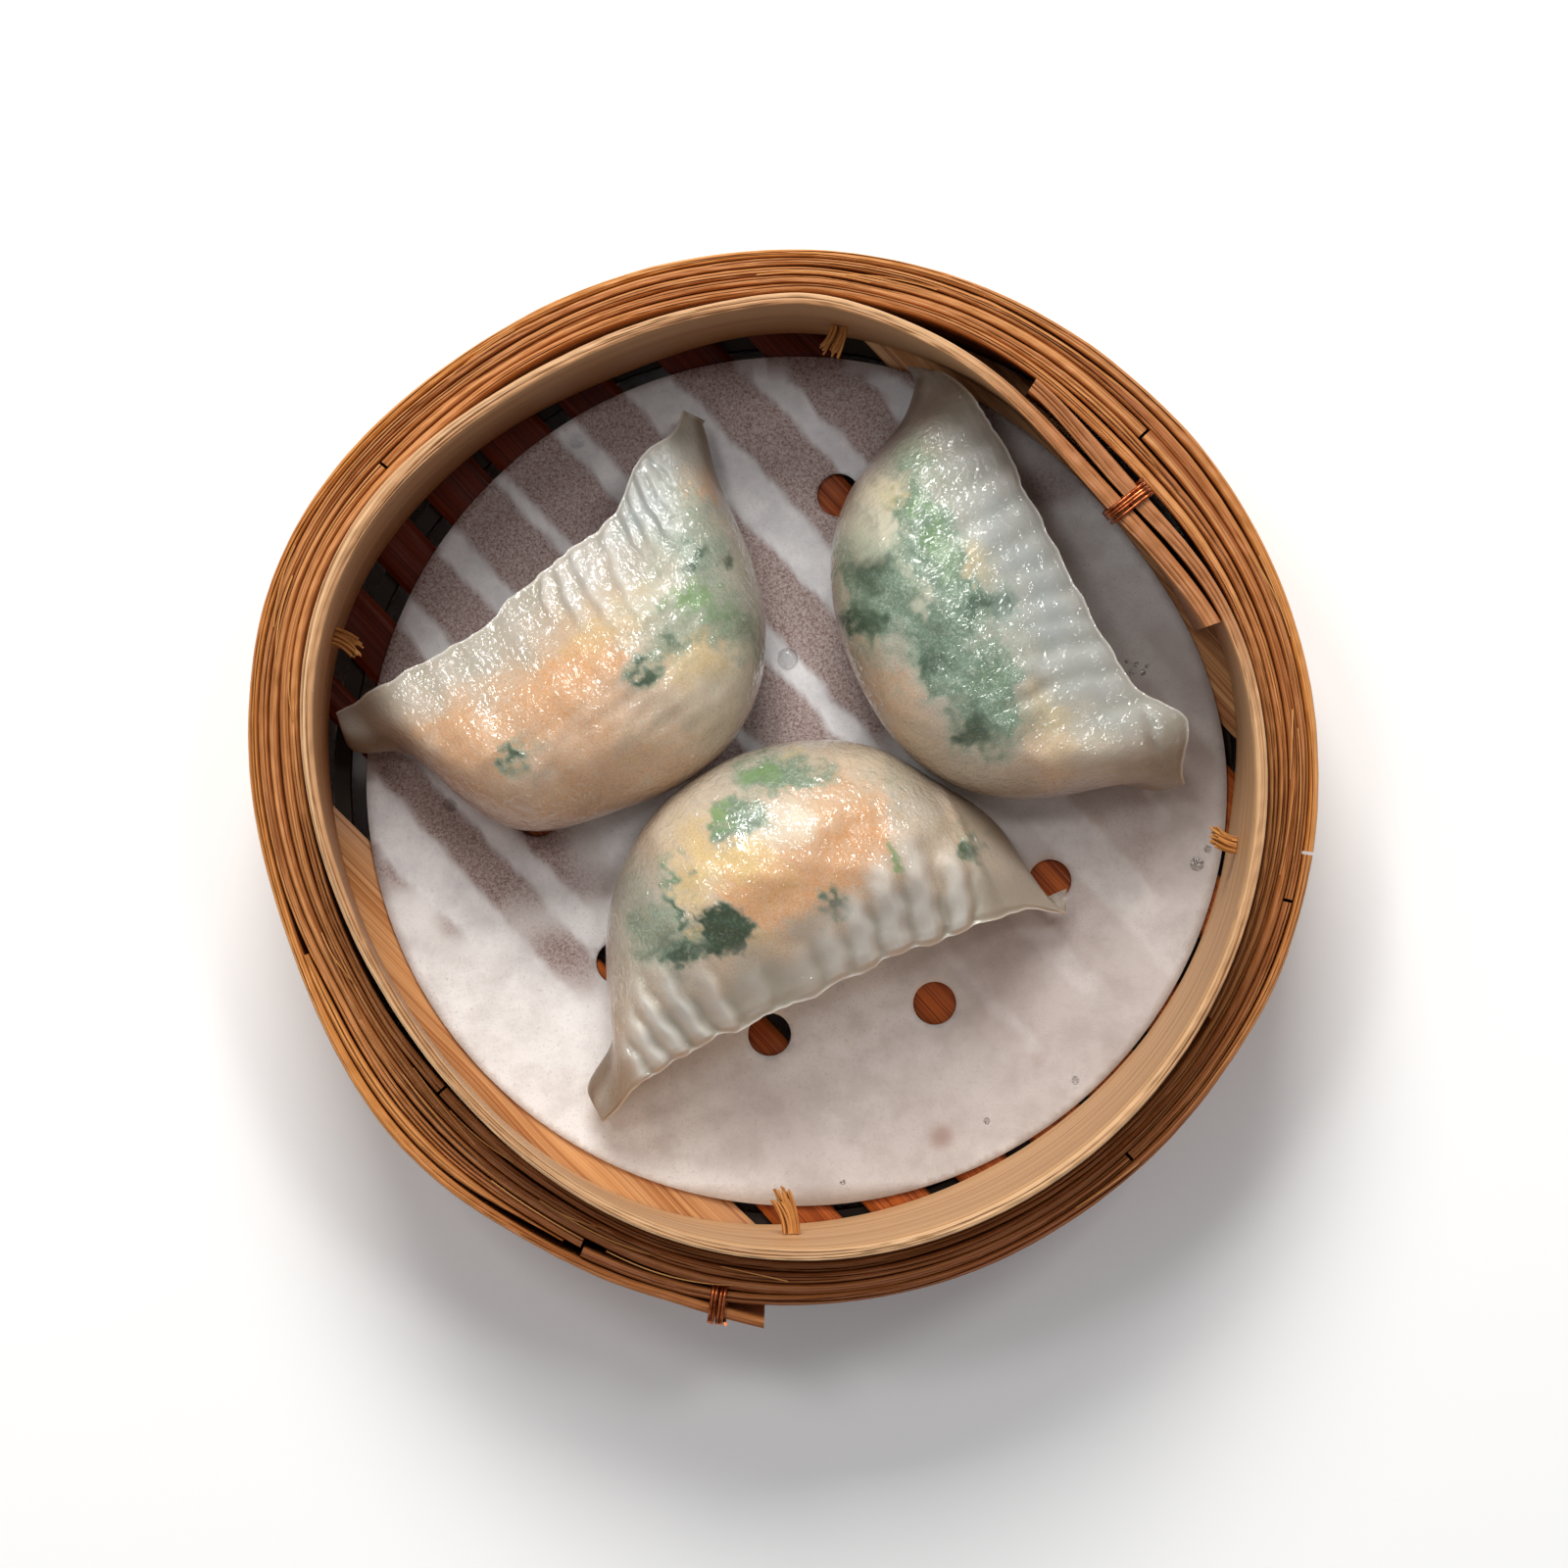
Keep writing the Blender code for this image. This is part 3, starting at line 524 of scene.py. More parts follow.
def wound_strip(name, node, turn, layers, thickness, top, bands, seed):
    """One length of the wound strip, a little uneven in thickness and slightly wavy."""
    slim = 0.06 * unevenness(turn, 0, 26.0, seed + 3)
    lean = 0.05 * unevenness(turn, 0, 31.0, seed + 5)

    def radius_at(across, up):
        place = layers[:, None] + (across * (1 - np.abs(slim[:, None])) + lean[:, None]) * thickness[:, None]
        return wall_face(turn[:, None], place, up) + flare(turn)[:, None]

    grid, valleys = strip_surface(turn, radius_at, 0.0, top, bands, seed)
    amber = ramp(layers + 0.4 * unevenness(turn, 0, 80.0, seed + 6), *AMBER_LAYERS)[:, None]
    around = np.mod(turn, 360.0)[:, None]
    # Painted shade: the winding's lower side is darkened through the soaked mask.
    damp = 0.5 * ramp(around, *WRAP_SHADOW_SIDE[0]) * (1 - ramp(around, *WRAP_SHADOW_SIDE[1]))
    masks = {"groove": valleys, "amber": amber, "soaked": damp}
    return settle(build(name, grid, *strip_map(grid, seed * 0.731), wrap_bamboo, masks), "wrap_bamboo", node)


for index in range(len(WRAP_CUTS) - 1):
    start = WRAP_CUTS[index] + (WRAP_BUTT_GAP if index else 0.0)
    turn = np.linspace(start, WRAP_CUTS[index + 1], round((WRAP_CUTS[index + 1] - start) / STRIP_STEP))
    layers = layers_within(turn) + WRAP_LIFTED_SHARES.get(index, 0.0) * patch_room(turn)
    wound_strip(f"wound_strip_{index + 1}", f"wrap_{index + 1}", turn, layers,
                WRAP_FILL * ramp(turn, *START_RAMP), WRAP_HEIGHT + WRAP_TOP_STEPS[index], 3, 100 + 9 * index)

turn = np.arange(*PATCH_ENDS, STRIP_STEP)
thin = 1.0 - PATCH_TAPER * ramp(turn, PATCH_THIN_FROM, PATCH_ENDS[1])
patch = wound_strip("packing_strip", "wrap_patch", turn, PATCH_LAYERS + 0.0 * turn,
                    PATCH_FILL * patch_room(turn) * thin, WRAP_HEIGHT, 2, 211)
print("wound strips:", index + 1, "faces of the packing strip:", len(patch.data.polygons))

# %% [markdown]
# The inner hoop is one more strip, bent once round with its ends lapped and bound with
# wire. It stands 9 mm above the winding and leans in and out of round. Its two ends are
# cut square, and in the lap the outer end lies behind the inner one. The lap is damp.
# On the upper-left side the inner face is darkened towards its foot as painted shade.

# %% Bend the hoop
HOOP_TOP = 0.0500
HOOP_FOOT = 0.0153
HOOP_ENDS = (20.0, 418.0)
HOOP_RADIUS = 0.0664
HOOP_TOP_SWELLS = ((42, 26, -0.0070), (87, 8, 0.0009), (127, 25, -0.0027), (146, 32, 0.0034),
                   (216, 40, -0.0047), (402, 17, -0.0042))
HOOP_FOOT_SWELLS = ((40, 28, -0.0032), (112, 17, -0.0020), (159, 18, 0.0020), (217, 26, -0.0021),
                    (298, 39, -0.0019))
HOOP_WALL = 0.00155
HOOP_WALL_SWELLS = ((30, 35, 0.0008), (150, 22, 0.0005), (405, 18, 0.00075))
LAP_LIFT = (352.0, 378.0)
LAP_OFFSET = 0.0027


def hoop_wall(turn_angle):
    return HOOP_WALL + swell(turn_angle, HOOP_WALL_SWELLS)


def hoop_inner(turn_angle, level):
    """Inner radius of the hoop at a height, a straight line between its foot and its rim."""
    foot = HOOP_RADIUS + swell(turn_angle, HOOP_FOOT_SWELLS, 360) + LAP_OFFSET * ramp(turn_angle, *LAP_LIFT)
    rim = HOOP_RADIUS + swell(turn_angle, HOOP_TOP_SWELLS)
    return foot + (rim - foot) * (level - HOOP_FOOT) / (HOOP_TOP - HOOP_FOOT)


def hoop_radius_at(across, up):
    level = HOOP_FOOT + (HOOP_TOP - HOOP_FOOT) * up
    return hoop_inner(turn[:, None], level) + across * hoop_wall(turn[:, None])


turn = np.arange(HOOP_ENDS[0], HOOP_ENDS[1] + STRIP_STEP / 2, STRIP_STEP)
grid, valleys = strip_surface(turn, hoop_radius_at, HOOP_FOOT, HOOP_TOP, 5, 301, 0.00030, 0.00024)
lapped = ramp(turn, 366.0, 386.0) + 1 - ramp(turn, 50.0, 74.0)
profile_across, profile_up, _ = strip_profile()
# Painted shade on the inner face of the hoop's upper-left side, darker towards the foot.
shaded_side = (ramp(turn, 60.0, 95.0) * (1 - ramp(turn, 195.0, 235.0)))[:, None]
shaded_face = (profile_across < 0.5) * (1 - 0.6 * profile_up)
masks = {"groove": valleys * 0.75, "soaked": np.maximum(lapped[:, None], shaded_side * shaded_face)}
hoop = settle(build("inner_hoop", grid, *strip_map(grid, 5.3), hoop_bamboo, masks), "hoop_bamboo", "hoop")
print("hoop faces:", len(hoop.data.polygons))

# %% [markdown]
# The floor is ten flat slats with uneven gaps. Their ends follow the round wall. The
# middle ones have soaked up years of steam and are dark, and the two at the sides stayed
# pale. The far ends of the middle slats are nearly black, as painted shade where the hoop
# casts its shadow. A slat is a grid too: rows along it, and points round its section.

# %% Lay the slats
SLAT_TOP = 0.0150
SLAT_THICKNESS = 0.0020
SLAT_HEADING = -46.8
SLAT_END_GAP = 0.00045
# Each gap is its offset from the middle, its width and how fast it widens along the slats.
SLAT_GAPS = ((-0.0468, 0.0050, -0.072), (-0.0358, 0.0037, 0.0), (-0.0236, 0.0043, 0.0),
             (-0.0118, 0.0039, 0.0), (0.0001, 0.0017, 0.0), (0.0122, 0.0033, 0.0),
             (0.0255, 0.0068, 0.0), (0.0391, 0.0037, 0.0), (0.0512, 0.0037, 0.0))
SLAT_ROWS = 90
SLAT_POINTS = 15
SLAT_SEGMENT_END = 0.0675
SLAT_SHADED = (-0.046, -0.012)


def slat_reach(angle):
    """How far the slats reach: just short of the wound wall at their height."""
    share = SLAT_TOP / WRAP_HEIGHT
    return inner_foot(angle) + share * (inner_top(angle) - inner_foot(angle)) - SLAT_END_GAP


def slat_end(offset, slope, direction):
    """Distance along the heading at which a line across the floor meets the wall, closed in on in steps."""
    along = direction * 0.060
    for _ in range(20):
        sideways = offset + slope * along
        angle = SLAT_HEADING + np.degrees(np.arctan2(sideways, along))
        along = direction * np.sqrt(np.maximum(slat_reach(angle) ** 2 - sideways**2, 1e-8))
    return along


def slat_surface(low, high, seed):
    """Grid of one slat between two edges (offset, slope), its section a box with softly rounded edges."""
    side = np.linspace(0, 1, SLAT_POINTS)
    round_edge = 1 - np.abs(2 * side - 1) ** 14
    sideways = np.concatenate([side, side[::-1]])
    up = np.concatenate([0.5 + 0.5 * round_edge, 0.5 - 0.5 * round_edge])
    offset = low[0] + (high[0] - low[0]) * sideways
    slope = low[1] + (high[1] - low[1]) * sideways
    ahead, behind = slat_end(offset, slope, 1), slat_end(offset, slope, -1)
    along = behind + (ahead - behind) * np.linspace(0, 1, SLAT_ROWS)[:, None]
    beside = offset + slope * along + 0.00012 * unevenness(along, sideways * 0.01, 0.02, seed)
    worn = 0.00010 * unevenness(along, beside * 4, 0.012, seed + 1)
    level = SLAT_TOP - SLAT_THICKNESS + (SLAT_THICKNESS + worn - 0.0001) * up
    return turned(np.stack([along, beside, level], axis=-1), SLAT_HEADING), along, beside


edges_low = [(-SLAT_SEGMENT_END, 0.0)] + [(place + width / 2, slope / 2) for place, width, slope in SLAT_GAPS]
edges_high = [(place - width / 2, -slope / 2) for place, width, slope in SLAT_GAPS]
edges_high.append((SLAT_SEGMENT_END, 0.0))
for index, (low, high) in enumerate(zip(edges_low, edges_high)):
    grid, along, beside = slat_surface(low, high, 400 + index)
    outermost = index in (0, len(SLAT_GAPS))
    material, slot = (pale_bamboo, "slat_bamboo_pale") if outermost else (wet_bamboo, "slat_bamboo_wet")
    round_section = np.append(beside[SLAT_ROWS // 2], beside[SLAT_ROWS // 2, 0]) + index * 0.37
    # Painted shade: the far ends of the middle slats are darkened through the soaked mask.
    masks = {"soaked": (1 - ramp(along[:, :1], *SLAT_SHADED)) * (not outermost)}
    slat = build(f"floor_slat_{index + 1}", grid, along[:, 0], round_section, material, masks)
    settle(slat, slot, f"slat_{index + 1}")
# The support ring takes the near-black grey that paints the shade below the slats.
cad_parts["support_ring"].data.materials.clear()
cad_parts["support_ring"].data.materials.append(ring_bamboo)
print("slats:", len(edges_low))

# %% [markdown]
# The liner is thin paper with a ring of punched holes, damp where the dumplings and the
# steam wetted it. The sheet is a flat triangulation with the holes as fixed edges. A
# grid would need its cells cut at every hole, and cutting leaves ragged rims.

# %% Triangulate the paper
LINER_FOOT = 0.0153
LINER_THICKNESS = 0.0003
LINER_CENTRE = (0.0021, 0.0)
LINER_RADII = (0.0634, 0.0625)
LINER_DENTS = ((38, 24, -0.0026),)
LINER_SIDES = 480
HOLE_COUNT = 10
HOLE_RING_CENTRE = (0.0031, 0.0024)
HOLE_RING_RADIUS = 0.0400
HOLE_RADIUS = 0.00317
HOLE_SIDES = 36
HOLE_FIRST_ANGLE = -25.3
PAPER_STEP = 0.0008
LATTICE_REACH = 0.068
RIM_CLEARANCE = 0.6 * PAPER_STEP
INSIDE_HOLE = 0.99 * HOLE_RADIUS
JOIN_DISTANCE = 1e-7


def round_outline(centre, radii, sides, dents=()):
    """An ellipse about a centre, pushed in where dents are given."""
    angle = np.linspace(0, 360, sides, endpoint=False)
    dent = np.zeros(sides) + swell(angle, dents, 360)
    return centre + (radii + dent[:, None]) * polar(angle, 1.0, 0.0)[:, :2]


def hole_centres():
    """Middles of the holes, on a ring that lies a little beside the middle of the paper."""
    angle = HOLE_FIRST_ANGLE + 360 * np.arange(HOLE_COUNT) / HOLE_COUNT
    return HOLE_RING_CENTRE + polar(angle, HOLE_RING_RADIUS, 0.0)[:, :2]


def clear_of_holes(points, distance):
    """True for the points that lie further than a distance from the middle of every hole."""
    return np.all([np.hypot(*(points - centre).T) > distance for centre in hole_centres()], axis=0)


def paper_points():
    """A triangular lattice of points that keeps a step clear of the rim and of each hole."""
    count = int(LATTICE_REACH / PAPER_STEP)
    column, row = np.meshgrid(np.arange(-count, count + 1), np.arange(-count, count + 1))
    away = np.stack([column + 0.5 * (row % 2), row * math.sqrt(3) / 2], axis=-1).reshape(-1, 2) * PAPER_STEP
    angle = np.degrees(np.arctan2(away[:, 1], away[:, 0]))
    reach = min(LINER_RADII) + swell(angle, LINER_DENTS, 360) - RIM_CLEARANCE
    lattice = away[np.hypot(*away.T) < reach] + LINER_CENTRE
    return lattice[clear_of_holes(lattice, HOLE_RADIUS + RIM_CLEARANCE)]


outlines = [round_outline(LINER_CENTRE, LINER_RADII, LINER_SIDES, LINER_DENTS)]
outlines += [round_outline(centre, (HOLE_RADIUS, HOLE_RADIUS), HOLE_SIDES) for centre in hole_centres()]
fixed_edges, first = [], 0
for outline in outlines:
    numbers = np.arange(len(outline))
    fixed_edges += np.stack([first + numbers, first + (numbers + 1) % len(outline)], axis=-1).tolist()
    first += len(outline)
flat_points = np.concatenate(outlines + [paper_points()])
placed, _, triangles, _, _, _ = delaunay_2d_cdt(flat_points.tolist(), fixed_edges, [], 0, JOIN_DISTANCE)
placed, triangles = np.array([tuple(point) for point in placed]), np.array(triangles)
triangles = triangles[clear_of_holes(placed[triangles].mean(axis=1), INSIDE_HOLE)]
print("paper triangles:", len(triangles))

# %% [markdown]
# Wet paper turns see-through, so the dark slats show in it and the gaps between them
# stay pale. A transparent sheet would need light to pass through it, and would not
# export well. So the slats are painted in, and noise at the size of paper pulp breaks
# up their colour. Four masks that come with the mesh say where the paper is damp, where
# a slat lies below, where it is stained, and where painted shade greys it, mostly
# towards the lower right.

# %% Paper finish
paper, shader = finish("liner_paper")
place = in_place()
pulp = noise(place, 2500.0, 4.0, 0.8, 0.8)
clumps = noise(place, 160.0, 3.0, 0.6)
cloud = noise(place, 45.0, 2.0)
dry = blend(fade(clumps, 0.35, 0.7), tone(239, 239, 239), tone(220, 218, 217))
# Painted shade greys the dry paper, mostly towards the lower right.
dry = layered(dry, (mask("limp"), (206, 200, 198), "MULTIPLY"))
wet_gap = blend(fade(clumps, 0.3, 0.7), tone(222, 220, 221), tone(196, 194, 196))
wet_slat = blend(fade(pulp, 0.36, 0.66), tone(120, 92, 88), tone(186, 172, 168))
wet = blend(mask("slat_below"), wet_gap, wet_slat)
soaked = fade(plus(mask("damp"), times(plus(cloud, -0.5), 0.35)), 0.05, 0.75)
fill(shader, {
    "Base Color": layered(blend(soaked, dry, wet), (times(mask("stain"), 0.75), (140, 108, 98)),
                          (fade(pulp, 0.52, 0.70, 0.0, 0.42), (160, 142, 136))),
    "Roughness": fade(soaked, 0.0, 1.0, 0.85, 0.45), "Specular IOR Level": 0.3,
    "Normal": relief(pulp, 0.00008)})
print("paper finish:", len(paper.node_tree.nodes), "nodes")

# %% [markdown]
# The masks are worked out at the paper's points from a few soft spots, and the wet paper
# sags a little into the gaps between the slats. The sheet gets its thickness from a
# second layer of points below the first, joined to it at the rim and at the holes.

# %% Shape and wet the paper
WET_SPOTS = ((-0.046, 0.030, 0.036, 1.0), (-0.016, 0.054, 0.026, 1.0), (0.010, 0.048, 0.020, 0.9),
             (-0.004, 0.018, 0.019, 0.9), (0.006, 0.004, 0.014, 0.8), (-0.050, -0.006, 0.013, 0.8),
             (-0.036, -0.018, 0.012, 0.45), (0.030, 0.048, 0.012, 0.4), (0.052, 0.006, 0.022, 0.28),
             (0.040, -0.026, 0.022, 0.25), (-0.012, -0.030, 0.014, 0.15))
# Spots of painted shade on the paper.
SHADE_SPOTS = ((0.0500, -0.0220, 0.026, 0.8), (0.0360, -0.0440, 0.020, 0.8), (0.0120, -0.0560, 0.016, 0.8),
              (0.0560, 0.0080, 0.020, 0.6), (-0.0050, -0.0500, 0.010, 0.5), (-0.0560, -0.0140, 0.012, 0.3))
STAIN_SPOTS = ((0.0231, -0.0523, 0.0019, 0.9), (0.0379, -0.0411, 0.0013, 0.35),
               (0.0152, -0.0391, 0.0012, 0.2), (0.0463, -0.0055, 0.0014, 0.3),
               (-0.0258, -0.0163, 0.0010, 0.4), (0.0150, 0.0560, 0.0015, 0.3))
PAPER_BODY = 0.00018
PAPER_SAG = 0.00014
PAPER_WAVES = 0.00007
SLAT_BORDER = (-0.0004, 0.0005)
ROUND_SPOT = 1.5


def blobs(x, y, spots, falloff):
    """Sum of soft spots (x, y, one or two radii, strength): strength * exp(-(d ** 2) ** falloff)."""
    total = 0.0
    for spot_x, spot_y, *radii, strength in spots:
        apart = ((x - spot_x) / radii[0]) ** 2 + ((y - spot_y) / radii[-1]) ** 2
        total = total + strength * np.exp(-(apart**falloff))
    return np.clip(total, 0, 1)


def over_slats(x, y):
    """1 above a slat, 0 above a gap, with a soft border."""
    along, beside, _ = turned(np.stack([x, y, 0 * x], axis=-1), -SLAT_HEADING).T
    covered = 1.0
    for offset, width, slope in SLAT_GAPS:
        half = (width + slope * along) / 2
        covered = covered * ramp(np.abs(beside - offset) - half, *SLAT_BORDER)
    return covered


x, y = placed.T
stray = 0.004 * unevenness(x, y, 0.012, 501)
masks = {"damp": blobs(x + stray, y - stray, WET_SPOTS, ROUND_SPOT),
         "slat_below": over_slats(x + 0.0004 * unevenness(x, y, 0.006, 502), y),
         "stain": blobs(x + 0.06 * stray, y, STAIN_SPOTS, ROUND_SPOT),
         "limp": blobs(x, y, SHADE_SPOTS, ROUND_SPOT)}
sag = PAPER_WAVES * unevenness(x, y, 0.016, 503) - PAPER_SAG * (1 - masks["slat_below"]) * masks["damp"]
top = np.column_stack([placed, LINER_FOOT + LINER_THICKNESS + sag])
count = len(top)
# An edge that only one triangle uses lies on the rim or round a hole, and gets a wall.
directed = np.concatenate([triangles[:, pair] for pair in ([0, 1], [1, 2], [2, 0])])
_, index, uses = np.unique(np.sort(directed, axis=1), axis=0, return_inverse=True, return_counts=True)
rim = directed[uses[index.ravel()] == 1]
walls = np.column_stack([rim[:, ::-1], rim + count])
faces = triangles.tolist() + (triangles[:, ::-1] + count).tolist() + walls.tolist()
masks = {title: np.tile(value, 2) for title, value in masks.items()}
places = np.concatenate([top, top - (0, 0, PAPER_BODY)])
settle(make_piece("paper_liner", places, faces, paper, masks, sharp=180), "liner_paper", "liner")
print("paper faces:", len(faces), "rim edges:", len(rim))

# %% [markdown]
# A dumpling of this kind starts as a round of dough, folded over its filling and
# pinched shut in pleats along one edge. It lies on its belly side, so from above the
# seam is a nearly straight line and the belly is a round bow. The surface is a fan:
# each row runs from a point of the seam over the top to a point of the belly and back
# underneath. Pleats, lumps and the thin frill are added to that as whole arrays.

# %% Dumpling sizes
DUMPLING_FOOT = LINER_FOOT + LINER_THICKNESS + 0.0003
ROWS = 410
TOP_COUNT = 150
UNDER_COUNT = 50
FIN_THICKNESS = 0.0014
CREST_AT = 0.60
BELLY_LEVEL = 0.42
TIP_THICKNESS = 0.0032
TIP_LIFT = 0.0035
PINCH_SHARE = 0.75
NO_STEP_DOWN = (0, 180, 0.0)
FAN_SPAN = (1.5, 178.5)
REST_CENTRE = 1.04
SCALLOP = 0.22
MM = 0.001
